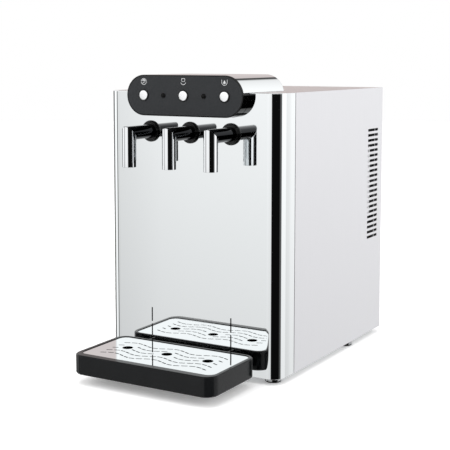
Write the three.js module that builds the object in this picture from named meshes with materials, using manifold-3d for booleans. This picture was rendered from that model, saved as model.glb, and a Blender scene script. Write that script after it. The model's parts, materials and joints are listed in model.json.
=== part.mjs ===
// Countertop water dispenser: cold, still and sparkling water from three spouts over a hanging drip tray.
// Millimetres, +Z up. Inside this file X = 0 is the middle, Y = 0 the outer face of the front panel and
// Z = 0 the worktop; the whole object is moved at the end so that its origin is under its middle.

import * as THREE from 'three';
import { mergeVertices } from 'three/addons/utils/BufferGeometryUtils.js';
import Module from 'manifold-3d';

const wasm = await Module();
wasm.setup();

// ---- driving dimensions ----

// Body
const bodyWidth = 320;
const bodyDepth = 402;
const bodyHeight = 441;
const footHeight = 9;
const sheet = 1.5;
const panelCornerRadius = 22;
const panelReturn = 49;
const gap = 0.3;
const seamGap = 1;
const flangeDepth = 14;

// Head and buttons
const headWidth = 213.4;
const headHeight = 64.7;
const headRise = 26.6;
const headProjection = 20.2;
const hoodLength = 117;
const hoodWall = 1.5;
const housingWall = 2.5;
const housingDepth = 30;
const facePlateThickness = 2.2;
const buttonDiameter = 15.3;
const buttonRingWall = 1.5;
const buttonTravel = 1.5;
const buttonProud = 1.4;
const buttonClearance = 0.35;
const indicatorDiameter = 6.6;

// Spouts
const outletPitch = 74.2;
const spoutReach = 60.5;
const spoutBelowHead = 25.9;
const spoutLength = 53;
const spoutDiameter = 22;
const spoutWall = 1.5;
const collarDiameter = 34.5;
const collarThickness = 5.2;
const armTail = 24;
const boreClearance = 0.4;
const nozzleHoles = 4;

// Drip tray
const trayWidth = 254.4;
const trayDepth = 136.3;
const trayHeight = 31.1;
const trayGap = 10.4;
const trayLift = 6.9;
const trayCornerRadius = 20;
const trayWall = 2.5;
const gridInsetSide = 7;
const gridInsetFront = 13;
const gridInsetRear = 5;
const gridThickness = 1.5;
const gridSink = 1;
const gridLedge = 4;
const drainHoleDiameter = 17;
const drainHoleReach = 69.5;
const waveRows = 5;
const waveRearMargin = 35.4;
const waveFrontMargin = 36.5;
const waveHeight = 5.4;
const slotWidth = 1.4;
const slotLength = 12.4;
const slotPitch = 16;
const slotsPerRow = 11;
const hookThickness = 1.5;
const hookDrop = 9;
const hookArmHeight = 12;
const hookSlotTop = 97.3;
const hookUpperSlot = 23;
const hookSlotBridge = 4;
const hookTravel = 24.3;

// Feet
const footDiameter = 26;
const footInset = 24;
const rearFootReach = 280;
const padDiameter = 22;
const padHeight = 3;
const boltDiameter = 8;
const boltRise = 8;

// Ventilation
const ventCount = 22;
const ventPitch = 9.13;
const ventSlotHeight = 4;
const ventSlotLength = 44.5;
const ventFromRear = 20.5;
const ventFromTop = 72.67;
const grilleSlotCount = 15;
const grilleSlotPitch = 8.4;
const grilleSlotHeight = 4;

// Cooling
const fanSize = 120;
const fanDepth = 25;
const fanBladeCount = 7;
const condenserSideRoom = 17.5;
const condenserMargin = 13;
const fanCentreHeight = 275;
const condenserDepth = 26;
const condenserFinPitch = 17;
const condenserPipes = 2;
const baffleWidth = 19;
const compressorDiameter = 124;
const compressorHeight = 158;
const compressorRim = 3;
const tankDiameter = 104;
const tankHeight = 186;
const insulationWall = 16;
const coilPipe = 8;
const coilTurns = 5;
const coilRoomShare = 0.027;
const carbonatorDiameter = 84;
const carbonatorHeight = 214;
const pumpDiameter = 78;
const pumpHeight = 150;

// Rear fittings
const inletWidth = 28;
const inletHeight = 21;
const inletDepth = 18;
const switchWidth = 14;
const switchHeight = 22;
const switchTilt = 8;
const waterThreadDiameter = 26.4;
const waterBoreDiameter = 13;
const gasNippleDiameter = 9;
const fittingProud = 14;
const threadPitch = 2.6;

// How finely round pieces are faceted: seen ones, and those inside or behind
const fine = 20;
const coarse = 14;
const tiny = 8;

// ---- values worked out from them ----

const bottom = footHeight;
const top = footHeight + bodyHeight;
const innerHalfWidth = bodyWidth / 2 - sheet;
const headCentre = top + headRise - headHeight / 2;
const spoutHeight = top + headRise - headHeight - spoutBelowHead;
const trayTop = bottom + trayLift + trayHeight;
const trayBottom = bottom + trayLift;
const buttonRingDiameter = buttonDiameter + 2 * buttonRingWall;
const waveFirstReach = trayGap + waveRearMargin;
const waveRowPitch = (trayDepth - waveRearMargin - waveFrontMargin) / (waveRows - 1);
const ventFloor = top - ventFromTop - ventSlotHeight - (ventCount - 1) * ventPitch;
const fanCentreX = innerHalfWidth - condenserSideRoom - condenserMargin - fanSize / 2;
const trayRear = -trayGap;
const trayFront = -trayGap - trayDepth;
const panFloor = bottom + sheet;
const outlets = [-outletPitch, 0, outletPitch];
const sides = [-1, 1];
const names = ['left', 'middle', 'right'];

// ---- materials ----

const finish = (color, roughness, metalness) => new THREE.MeshStandardMaterial({ color, roughness,
  metalness });
const mirrorSteel = finish(0xdfe3e4, 0.05, 1);
const satinSteel = finish(0xd8d8da, 0.35, 0.9);
const chrome = finish(0xe8eaec, 0.06, 1);
const blackGloss = finish(0x0b0b0c, 0.12, 0);
const facePlastic = finish(0x3c3d3f, 0.4, 0);
const trayPlastic = finish(0x1c1d1f, 0.25, 0);
const rubber = finish(0x161616, 0.9, 0);
const zincSteel = finish(0xb9bdc0, 0.45, 0.8);
const foam = finish(0xe9e7e2, 0.95, 0);
const copper = finish(0xb06a45, 0.35, 1);
const blackPaint = finish(0x151515, 0.5, 0.2);
const stainless = finish(0xc4c8ca, 0.3, 1);
const boardGreen = finish(0x1f5a36, 0.55, 0);
const brass = finish(0xc9a255, 0.35, 1);
const clearHose = finish(0x2f6fae, 0.4, 0);
const greyPlastic = finish(0xbfc1c4, 0.55, 0);

// ---- solids ----

function solidOf(geometry) {
  const bare = geometry.clone();
  bare.deleteAttribute('normal');
  bare.deleteAttribute('uv');
  const merged = mergeVertices(bare, 1e-4);
  const vertProperties = new Float32Array(merged.attributes.position.array);
  const triVerts = new Uint32Array(merged.index.array);
  return new wasm.Manifold(new wasm.Mesh({ numProp: 3, vertProperties, triVerts }));
}

function geometryOf(solid) {
  const mesh = solid.getMesh();
  const geometry = new THREE.BufferGeometry();
  geometry.setAttribute('position', new THREE.BufferAttribute(mesh.vertProperties, 3));
  geometry.setIndex(new THREE.BufferAttribute(mesh.triVerts, 1));
  geometry.computeVertexNormals();
  return geometry;
}

function join(first, ...others) {
  return others.reduce((sum, other) => sum.add(other), first);
}

function cut(first, ...others) {
  return others.reduce((rest, other) => rest.subtract(other), first);
}

function block(x0, x1, y0, y1, z0, z1) {
  const geometry = new THREE.BoxGeometry(x1 - x0, y1 - y0, z1 - z0);
  geometry.translate((x0 + x1) / 2, (y0 + y1) / 2, (z0 + z1) / 2);
  return solidOf(geometry);
}

// A round bar from y0 to y1, lying front to back.
function barAlongY(diameter, x, z, y0, y1, segments = fine) {
  const geometry = new THREE.CylinderGeometry(diameter / 2, diameter / 2, y1 - y0, segments);
  geometry.translate(x, (y0 + y1) / 2, z);
  return solidOf(geometry);
}

// A round bar from z0 to z1, standing.
function barAlongZ(diameter, x, y, z0, z1, segments = fine) {
  const geometry = new THREE.CylinderGeometry(diameter / 2, diameter / 2, z1 - z0, segments);
  geometry.rotateX(Math.PI / 2);
  geometry.translate(x, y, (z0 + z1) / 2);
  return solidOf(geometry);
}

// A shape drawn in plan, extruded upwards.
function standing(shape, z0, z1, curveSegments = 3) {
  const geometry = new THREE.ExtrudeGeometry(shape, { depth: z1 - z0, bevelEnabled: false, curveSegments });
  geometry.translate(0, 0, z0);
  return solidOf(geometry);
}

// A shape drawn as seen from the front, extruded backwards.
function frontal(shape, y0, y1, curveSegments = 10) {
  const geometry = new THREE.ExtrudeGeometry(shape, { depth: y1 - y0, bevelEnabled: false, curveSegments });
  geometry.rotateX(Math.PI / 2);
  geometry.translate(0, y1, 0);
  return solidOf(geometry);
}

// A shape drawn as [y, z] in side view, extruded from x0 to x1; tilt turns it about the X axis first.
function sideways(points, x0, x1, tilt = 0, y = 0, z = 0) {
  const shape = new THREE.Shape(points.map(([across, up]) => new THREE.Vector2(across, up)));
  const geometry = new THREE.ExtrudeGeometry(shape, { depth: x1 - x0, bevelEnabled: false });
  geometry.rotateX(Math.PI / 2);
  geometry.rotateZ(Math.PI / 2);
  geometry.rotateX(tilt);
  geometry.translate(x0, y, z);
  return solidOf(geometry);
}

// A profile of [radius, height] points turned about a standing axis at (x, y).
function turned(profile, x, y, segments = coarse) {
  const points = profile.map(([radius, height]) => new THREE.Vector2(radius, height));
  const geometry = new THREE.LatheGeometry(points, segments);
  geometry.rotateX(Math.PI / 2);
  geometry.translate(x, y, 0);
  return solidOf(geometry);
}

// The same profile turned about an axis that runs front to back; heights grow backwards from y.
function turnedAlongY(profile, x, y, z, segments = fine) {
  const points = profile.map(([radius, height]) => new THREE.Vector2(radius, height));
  const geometry = new THREE.LatheGeometry(points, segments);
  geometry.translate(x, y, z);
  return solidOf(geometry);
}

// A solid round pipe through the given points.
function pipe(points, diameter, steps, facets) {
  const section = new THREE.Shape();
  for (let corner = 0; corner < facets; corner += 1) {
    const angle = corner / facets * 2 * Math.PI;
    const across = diameter / 2 * Math.cos(angle);
    const along = diameter / 2 * Math.sin(angle);
    if (corner === 0) section.moveTo(across, along);
    else section.lineTo(across, along);
  }
  section.closePath();
  const route = new THREE.CatmullRomCurve3(points.map((point) => new THREE.Vector3(...point)));
  return solidOf(new THREE.ExtrudeGeometry(section, { steps, extrudePath: route, bevelEnabled: false }));
}

// ---- outlines ----

// A stadium on its side, centred at (0, height): straight top and bottom, half-circle ends.
function stadium(width, height, centre) {
  const radius = height / 2;
  const arm = width / 2 - radius;
  const shape = new THREE.Shape();
  shape.absarc(arm, centre, radius, -Math.PI / 2, Math.PI / 2, false);
  shape.absarc(-arm, centre, radius, Math.PI / 2, Math.PI * 1.5, false);
  shape.closePath();
  return shape;
}

function roundedRectangle(x0, x1, y0, y1, radius) {
  const shape = new THREE.Shape();
  shape.absarc(x1 - radius, y0 + radius, radius, -Math.PI / 2, 0, false);
  shape.absarc(x1 - radius, y1 - radius, radius, 0, Math.PI / 2, false);
  shape.absarc(x0 + radius, y1 - radius, radius, Math.PI / 2, Math.PI, false);
  shape.absarc(x0 + radius, y0 + radius, radius, Math.PI, Math.PI * 1.5, false);
  shape.closePath();
  return shape;
}

// The plan of the body at a distance inside its outer faces: round front corners, square rear ones.
function bodyPlan(inset, rear) {
  const half = bodyWidth / 2 - inset;
  const radius = panelCornerRadius - inset;
  const shape = new THREE.Shape();
  shape.moveTo(half, rear);
  shape.lineTo(-half, rear);
  shape.lineTo(-half, inset + radius);
  shape.absarc(-half + radius, inset + radius, radius, Math.PI, Math.PI * 1.5, false);
  shape.absarc(half - radius, inset + radius, radius, -Math.PI / 2, 0, false);
  shape.closePath();
  return shape;
}

// ---- scene graph ----

const dispenser = new THREE.Group();
const body = new THREE.Group();
dispenser.add(body);

function addPiece(name, solid, material) {
  const mesh = new THREE.Mesh(geometryOf(solid), material);
  mesh.name = name;
  body.add(mesh);
}

// ---- casing ----

const slotWide = hookThickness + 2 * boreClearance;
const bladeTop = hookSlotTop - hookUpperSlot - hookSlotBridge - hookTravel - gap;
const bladeFoot = bladeTop - hookArmHeight;

// Two slots for each hook: the blade rests on the lower one's bottom end and lifts out of it.
function hookSlots(side) {
  const low = side * outletPitch - slotWide / 2;
  const high = side * outletPitch + slotWide / 2;
  const bridge = hookSlotTop - hookUpperSlot;
  const lower = block(low, high, -1, sheet + 1, bladeFoot - gap, bridge - hookSlotBridge);
  const upper = block(low, high, -1, sheet + 1, bridge, hookSlotTop);
  return [lower, upper];
}

function buildFrontPanel() {
  const outer = standing(bodyPlan(0, panelReturn), bottom, top, 4);
  const inner = standing(bodyPlan(sheet, panelReturn + 1), bottom - 1, top + 1, 4);
  const notch = frontal(stadium(headWidth + 2 * gap, headHeight + 2 * gap, headCentre), -1, sheet + 1, 9);
  const bores = outlets.map((x) => barAlongY(spoutDiameter + 2 * boreClearance, x, spoutHeight, -1,
    sheet + 1));
  const slots = sides.flatMap(hookSlots);
  addPiece('front_panel', cut(outer, inner, notch, ...bores, ...slots), mirrorSteel);
}

function buildSidePanel(name, side) {
  const outside = side * bodyWidth / 2;
  const inside = side * (bodyWidth / 2 - sheet);
  const front = panelReturn + seamGap;
  const low = Math.min(outside, inside);
  const high = Math.max(outside, inside);
  const skin = block(low, high, front, bodyDepth, bottom, top);
  const flangeEnd = side * (bodyWidth / 2 - flangeDepth);
  const rearFlange = block(Math.min(outside, flangeEnd), Math.max(outside, flangeEnd),
    bodyDepth - sheet, bodyDepth, bottom, top);
  const slots = [];
  for (let row = 0; row < ventCount; row += 1) {
    const z = ventFloor + row * ventPitch;
    const rear = bodyDepth - ventFromRear;
    slots.push(block(low - 1, high + 1, rear - ventSlotLength, rear, z, z + ventSlotHeight));
  }
  addPiece(name, cut(join(skin, rearFlange), ...slots), satinSteel);
}

function buildTopPanel() {
  const inset = sheet + gap;
  const rear = bodyDepth - sheet - gap;
  const plate = standing(bodyPlan(inset, rear), top - sheet, top);
  const hem = standing(bodyPlan(inset, rear), top - flangeDepth, top - sheet / 2);
  const hollow = standing(bodyPlan(inset + sheet, rear - sheet), top - flangeDepth - 1, top - sheet);
  const roomDepth = housingDepth + gap;
  const room = block(-headWidth / 2 - gap, headWidth / 2 + gap, -1, roomDepth,
    top - flangeDepth - 2, top + 1);
  addPiece('top_panel', cut(join(plate, hem), hollow, room), satinSteel);
}

function grilleSlots() {
  const slots = [];
  const halfSlot = fanSize / 2 - 3;
  const first = fanCentreHeight - (grilleSlotCount - 1) / 2 * grilleSlotPitch;
  for (let row = 0; row < grilleSlotCount; row += 1) {
    const z = first + row * grilleSlotPitch;
    slots.push(block(fanCentreX - halfSlot, fanCentreX + halfSlot, bodyDepth - 3 * sheet, bodyDepth + 1,
      z - grilleSlotHeight / 2, z + grilleSlotHeight / 2));
  }
  return slots;
}

// Where each rear fitting sits, as [x, height].
const fittingX = 46.5 - innerHalfWidth;
const inletPlace = [fittingX, top - 78];
const switchPlace = [fittingX + 32, top - 78];
const waterPlace = [fittingX, 92];
const gasPlace = [fittingX + 44, 92];

function buildRearPanel() {
  const half = bodyWidth / 2 - flangeDepth - gap;
  const plate = block(-half, half, bodyDepth - sheet, bodyDepth, bottom, top);
  const [inletX, inletZ] = inletPlace;
  const [switchX] = switchPlace;
  const moduleHeight = Math.max(inletHeight, switchHeight);
  const moduleHole = block(inletX - inletWidth / 2 - gap, switchX + switchWidth / 2 + gap,
    bodyDepth - 3 * sheet,
    bodyDepth + 1, inletZ - moduleHeight / 2 - gap, inletZ + moduleHeight / 2 + gap);
  const waterHole = barAlongY(waterThreadDiameter + 2 * gap, ...waterPlace, bodyDepth - 3 * sheet,
    bodyDepth + 1);
  const gasHole = barAlongY(gasNippleDiameter + 2 * gap, ...gasPlace, bodyDepth - 3 * sheet,
    bodyDepth + 1, coarse);
  addPiece('rear_panel', cut(plate, moduleHole, waterHole, gasHole, ...grilleSlots()), zincSteel);
}

// Where the feet stand, as [x, y]. The rear pair stands a little wider than the front pair.
const footPlaces = {
  front_left: [-(bodyWidth / 2 - footInset), footInset + 2],
  front_right: [bodyWidth / 2 - footInset, footInset + 2],
  rear_left: [-(bodyWidth / 2 - footInset + 8), rearFootReach],
  rear_right: [bodyWidth / 2 - footInset + 8, rearFootReach],
};

function buildBasePan() {
  const inset = sheet + gap;
  const rear = bodyDepth - sheet - gap;
  const outer = standing(bodyPlan(inset, rear), bottom, bottom + flangeDepth);
  const hollow = standing(bodyPlan(inset + sheet, rear - sheet), panFloor, bottom + flangeDepth + 1);
  const bolts = Object.values(footPlaces).map(([x, y]) => (
    barAlongZ(boltDiameter + 2 * gap, x, y, bottom - 1, panFloor + 1, tiny)));
  const slots = [];
  for (let row = 0; row < 6; row += 1) {
    const y = bodyDepth - 60 - row * 12;
    slots.push(block(fanCentreX - 35, fanCentreX + 45, y - 2.5, y + 2.5, bottom - 1, panFloor + 1));
  }
  addPiece('base_pan', cut(outer, hollow, ...bolts, ...slots), zincSteel);
}

function buildFeet() {
  for (const [place, [x, y]] of Object.entries(footPlaces)) {
    const cupTop = bottom - gap;
    const cup = join(
      barAlongZ(footDiameter, x, y, padHeight / 2 + gap, cupTop),
      barAlongZ(boltDiameter, x, y, cupTop - 1, panFloor + boltRise, tiny),
    );
    const seat = barAlongZ(padDiameter + 2 * gap, x, y, -1, padHeight + gap);
    addPiece(`foot_${place}`, cut(cup, seat), chrome);
    addPiece(`foot_pad_${place}`, barAlongZ(padDiameter, x, y, 0, padHeight), rubber);
  }
}

// ---- head ----

const plateBack = -headProjection + facePlateThickness;

// The room above or below the level where hood and housing meet, to be cut away.
function roomAbove(level) {
  return block(-headWidth, headWidth, -headProjection - 10, bodyDepth, level, top + 2 * headHeight);
}

function roomBelow(level) {
  return block(-headWidth, headWidth, -headProjection - 10, bodyDepth, level - 2 * headHeight, level);
}

function buildHeadHousing() {
  const front = plateBack + gap;
  const outer = frontal(stadium(headWidth, headHeight, headCentre), front, housingDepth, 9);
  const inner = frontal(
    stadium(headWidth - 2 * housingWall, headHeight - 2 * housingWall, headCentre),
    front - 1, housingDepth - housingWall, 9);
  const lip = cut(
    frontal(stadium(headWidth - 1, headHeight - 1, headCentre), front, front + 3, 10),
    frontal(stadium(headWidth - 16, headHeight - 16, headCentre), front - 1, front + 4, 10));
  const shell = join(cut(outer, inner), lip);
  addPiece('head_housing', cut(shell, roomAbove(top - gap)), blackGloss);
}

function buildHood() {
  const front = plateBack + gap;
  const outer = frontal(stadium(headWidth, headHeight, headCentre), front, hoodLength, 10);
  const inner = frontal(
    stadium(headWidth - 2 * hoodWall, headHeight - 2 * hoodWall, headCentre),
    front - 1, hoodLength - hoodWall, 10);
  addPiece('hood_cover', cut(outer, inner, roomBelow(top + gap)), chrome);
}

const indicators = [-outletPitch / 2, outletPitch / 2];

function buildFacePlate() {
  const plate = frontal(stadium(headWidth, headHeight, headCentre), -headProjection, plateBack, 10);
  const ringHoles = outlets.map((x) => barAlongY(buttonRingDiameter - 2 + 2 * gap, x, headCentre,
    -headProjection - 1, plateBack + 1));
  const domeHoles = indicators.map((x) => barAlongY(indicatorDiameter - 1.6 + 2 * gap, x, headCentre,
    -headProjection - 1, plateBack + 1, coarse));
  addPiece('face_plate', cut(plate, ...ringHoles, ...domeHoles), facePlastic);
}

// A dark ring with a flange on the plate and a sleeve that guides the button.
function buildButtons() {
  const front = -headProjection;
  const sleeveRadius = buttonRingDiameter / 2 - 1;
  const capRadius = buttonDiameter / 2;
  const guideRadius = capRadius + buttonClearance;
  outlets.forEach((x, index) => {
    const ring = [
      [guideRadius, -1.1], [buttonRingDiameter / 2 - 0.4, -1.1], [buttonRingDiameter / 2, -0.7],
      [buttonRingDiameter / 2, -gap], [sleeveRadius, -gap], [sleeveRadius, 8], [guideRadius, 8],
      [guideRadius, -1.1],
    ];
    addPiece(`button_ring_${names[index]}`, turnedAlongY(ring, x, front, headCentre), blackGloss);
    const cap = [
      [0, -buttonProud - 0.4], [capRadius * 0.6, -buttonProud - 0.3], [capRadius - 0.8, -buttonProud],
      [capRadius, -buttonProud + 0.7], [capRadius, 6], [3, 6], [3, 9.5], [0, 9.5],
    ];
    addPiece(`button_${names[index]}`, turnedAlongY(cap, x, front, headCentre), chrome);
  });
}

function buildIndicators() {
  const radius = indicatorDiameter / 2;
  const profile = [
    [0, -1.7], [radius * 0.5, -1.5], [radius * 0.85, -1], [radius, -gap], [radius - 0.8, -gap],
    [radius - 0.8, 5], [0, 5],
  ];
  indicators.forEach((x, index) => {
    const name = index === 0 ? 'indicator_left' : 'indicator_right';
    addPiece(name, turnedAlongY(profile, x, -headProjection, headCentre, coarse), blackGloss);
  });
}

function buildControlBoard() {
  const front = -headProjection + 9.5 + buttonTravel + 4.5;
  const board = frontal(stadium(headWidth - 22, headHeight - 22, headCentre), front, front + 1.6, 8);
  const switches = outlets.map((x) => block(x - 3, x + 3, front - 3.6, front + 0.5, headCentre - 3,
    headCentre + 3));
  const lamps = indicators.map((x) => barAlongY(4, x, headCentre, front - 6, front + 0.5, tiny));
  const processor = block(-46, -28, front + 1, front + 3.2, headCentre - 9, headCentre + 9);
  const plug = block(22, 44, front + 1, front + 7, headCentre + 4, headCentre + 11);
  const relays = [52, 66].map((x) => block(x, x + 10, front + 1, front + 8, headCentre - 10,
    headCentre + 6));
  addPiece('control_board', join(board, ...switches, ...lamps, processor, plug, ...relays), boardGreen);
}

// ---- spouts ----

// A wedge that keeps what lies behind the 45 degree mitre plane; shift moves the plane backwards.
function mitreWedge(x, keepArm, shift) {
  const size = 3 * spoutReach;
  const y = -spoutReach + shift;
  const geometry = new THREE.BoxGeometry(size, size, size);
  geometry.translate(0, keepArm ? size / 2 : -size / 2, 0);
  geometry.rotateX(Math.PI / 4);
  geometry.translate(x, y, spoutHeight);
  return solidOf(geometry);
}

function buildSpouts() {
  const outerRadius = spoutDiameter / 2;
  const mouth = spoutHeight - spoutLength;
  outlets.forEach((x, index) => {
    const tubeOuter = barAlongZ(spoutDiameter, x, -spoutReach, mouth, spoutHeight + outerRadius + 2, 28);
    const tubeInner = barAlongZ(spoutDiameter - 2 * spoutWall, x, -spoutReach, mouth - 1,
      spoutHeight + outerRadius + 3, 28);
    const tube = cut(tubeOuter, tubeInner).intersect(mitreWedge(x, false, -gap / 2));
    addPiece(`spout_tube_${names[index]}`, tube, chrome);

    const armOuter = barAlongY(spoutDiameter, x, spoutHeight, -spoutReach - outerRadius - 2,
      sheet + armTail, 28);
    const armInner = barAlongY(spoutDiameter - 2 * spoutWall, x, spoutHeight, -spoutReach - outerRadius - 3,
      sheet + armTail - 4, 28);
    const hosePort = barAlongY(7, x, spoutHeight, sheet, sheet + armTail + 1, tiny);
    const arm = cut(armOuter, armInner, hosePort).intersect(mitreWedge(x, true, gap / 2));
    addPiece(`spout_arm_${names[index]}`, arm, chrome);

    buildCollar(x, names[index]);
    buildNozzle(x, names[index], mouth);
  });
}

// A stepped ring with two grooves, clamped against the panel round the arm.
function buildCollar(x, name) {
  const radius = collarDiameter / 2;
  const bore = spoutDiameter / 2 + boreClearance;
  const rib = collarThickness / 5;
  const profile = [
    [bore, -gap - collarThickness], [radius - 3, -gap - collarThickness], [radius - 1.6, -gap - 4 * rib],
    [radius - 2.4, -gap - 3.6 * rib], [radius - 2.4, -gap - 3 * rib], [radius, -gap - 2.6 * rib],
    [radius, -gap], [bore, -gap], [bore, -gap - collarThickness],
  ];
  addPiece(`collar_${name}`, turnedAlongY(profile, x, 0, spoutHeight), blackGloss);
}

// A flow straightener a little way up the tube's mouth, with a ring of small holes.
function buildNozzle(x, name, mouth) {
  const radius = spoutDiameter / 2 - spoutWall - gap;
  const disc = barAlongZ(2 * radius, x, -spoutReach, mouth + 1, mouth + 9);
  const recess = barAlongZ(2 * radius - 3, x, -spoutReach, mouth, mouth + 3);
  const holes = [];
  for (let turn = 0; turn < nozzleHoles; turn += 1) {
    const angle = turn / nozzleHoles * 2 * Math.PI;
    const holeX = x + radius * 0.45 * Math.cos(angle);
    const holeY = -spoutReach + radius * 0.45 * Math.sin(angle);
    holes.push(barAlongZ(3, holeX, holeY, mouth, mouth + 10, tiny));
  }
  addPiece(`nozzle_${name}`, cut(disc, recess, ...holes), rubber);
}

// ---- drip tray ----

function trayOutline(inset) {
  return roundedRectangle(-trayWidth / 2 + inset, trayWidth / 2 - inset, trayFront + inset,
    trayRear - inset,
    Math.max(trayCornerRadius - inset, 1));
}

function gridOutline(clearance) {
  const radius = trayCornerRadius - gridInsetSide - clearance;
  return roundedRectangle(-trayWidth / 2 + gridInsetSide + clearance,
    trayWidth / 2 - gridInsetSide - clearance,
    trayFront + gridInsetFront + clearance, trayRear - gridInsetRear - clearance, radius);
}

function basinOutline() {
  return roundedRectangle(-trayWidth / 2 + gridInsetSide + gridLedge,
    trayWidth / 2 - gridInsetSide - gridLedge,
    trayFront + gridInsetFront + gridLedge, trayRear - gridInsetRear - gridLedge,
    trayCornerRadius - gridInsetSide - gridLedge);
}

const gridTop = trayTop - gridSink;
const gridBottom = gridTop - gridThickness;

function buildDripTray() {
  const outer = standing(trayOutline(0), trayBottom, trayTop - 1.2);
  const rim = standing(trayOutline(1.2), trayTop - 2.4, trayTop);
  const seat = standing(gridOutline(0), gridBottom - gap, trayTop + 1);
  const basin = standing(basinOutline(), trayBottom + trayWall, trayTop + 1);
  addPiece('drip_tray', cut(join(outer, rim), seat, basin), trayPlastic);
}

// One slot of the drain plate: a short stretch of the wave, three points along each side.
function waveSlot(row, middle) {
  const rowReach = -waveFirstReach - row * waveRowPitch;
  const wave = (x) => rowReach + waveHeight * Math.cos(2 * Math.PI * x / outletPitch);
  const slope = -waveHeight * 2 * Math.PI / outletPitch * Math.sin(2 * Math.PI * middle / outletPitch);
  const half = slotLength / 2 / Math.hypot(1, slope);
  const stations = [middle - half, middle, middle + half];
  const path = new THREE.Path();
  stations.forEach((x, step) => {
    const y = wave(x) - slotWidth / 2;
    if (step === 0) path.moveTo(x, y);
    else path.lineTo(x, y);
  });
  [...stations].reverse().forEach((x) => path.lineTo(x, wave(x) + slotWidth / 2));
  path.closePath();
  const hitsHole = outlets.some((x) => Math.hypot(middle - x, wave(middle) + drainHoleReach)
    < drainHoleDiameter / 2 + slotLength / 2 + 1);
  return hitsHole ? null : path;
}

function buildTrayGrid() {
  const plate = gridOutline(gap);
  for (const x of outlets) {
    const hole = new THREE.Path();
    hole.absarc(x, -drainHoleReach, drainHoleDiameter / 2, 0, Math.PI * 2, true);
    plate.holes.push(hole);
  }
  for (let row = 0; row < waveRows; row += 1) {
    for (let slot = 0; slot < slotsPerRow; slot += 1) {
      const path = waveSlot(row, (slot - (slotsPerRow - 1) / 2) * slotPitch);
      if (path) plate.holes.push(path);
    }
  }
  addPiece('tray_grid', standing(plate, gridBottom, gridTop), mirrorSteel);
}

// A steel strip on the tray's rear wall with two blades whose noses drop behind the panel.
function buildTrayBracket() {
  const strip = block(-outletPitch - 12, outletPitch + 12, trayRear + gap, trayRear + gap + hookThickness,
    trayBottom + 4, trayTop - 2);
  const nose = sheet + boreClearance;
  const blades = sides.map((side) => {
    const low = side * outletPitch - hookThickness / 2;
    const high = side * outletPitch + hookThickness / 2;
    const riser = block(low, high, trayRear + gap, -1, trayTop - 16, bladeTop);
    const arm = block(low, high, trayRear + gap, nose + 4, bladeFoot, bladeTop);
    const drop = block(low, high, nose, nose + 4, bladeFoot - hookDrop, bladeFoot + 1);
    return join(riser, arm, drop);
  });
  addPiece('tray_bracket', join(strip, ...blades), stainless);
}

// ---- cooling ----

const condenserRear = bodyDepth - sheet - 8;
const condenserFront = condenserRear - condenserDepth;
const fanRear = condenserFront - 2;
const fanFront = fanRear - fanDepth;

function buildCompressor() {
  const radius = compressorDiameter / 2;
  const x = -innerHalfWidth + radius + 24.5;
  const y = bodyDepth - 0.285 * freeDepth - radius - compressorRim;
  const feetTop = panFloor + 10;
  const profile = [
    [0, feetTop], [radius * 0.55, feetTop], [radius * 0.86, feetTop + 12], [radius, feetTop + 34],
    [radius, feetTop + compressorHeight * 0.5], [radius + compressorRim, feetTop + compressorHeight * 0.5],
    [radius + compressorRim, feetTop + compressorHeight * 0.5 + 4], [radius,
      feetTop + compressorHeight * 0.5 + 4],
    [radius * 0.95, feetTop + compressorHeight * 0.78], [radius * 0.7, feetTop + compressorHeight * 0.95],
    [radius * 0.3, feetTop + compressorHeight], [0, feetTop + compressorHeight],
  ];
  const shell = turned(profile, x, y);
  const plate = block(x - radius * 0.95, x + radius * 0.95, y - 40, y + 40, feetTop - 2, feetTop + 2);
  const mounts = [-1, 1].flatMap((sx) => [-1, 1].map((sy) => barAlongZ(16, x + sx * radius * 0.8,
    y + sy * 28,
    panFloor + gap, feetTop, tiny)));
  addPiece('compressor', join(shell, plate, ...mounts), blackPaint);
}

function buildCondenser() {
  const half = fanSize / 2 + 8;
  const fins = [];
  const low = fanCentreHeight - half;
  const high = fanCentreHeight + half;
  for (let x = fanCentreX - half; x <= fanCentreX + half; x += condenserFinPitch) {
    fins.push(block(x - 0.6, x + 0.6, condenserFront, condenserRear, low, high));
  }
  const pipes = [];
  for (let row = 0; row < condenserPipes; row += 1) {
    const z = low + 12 + row * (high - low - 24) / (condenserPipes - 1);
    pipes.push(block(fanCentreX - half - 4, fanCentreX + half + 4, condenserFront + 9, condenserFront + 16,
      z - 3.5, z + 3.5));
  }
  const frame = [-1, 1].map((side) => block(fanCentreX + side * (half + 4) - 1,
    fanCentreX + side * (half + 4) + 1,
    condenserFront, condenserRear, low, high));
  addPiece('condenser', join(fins[0], ...fins.slice(1), ...pipes, ...frame), copper);
}

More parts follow.
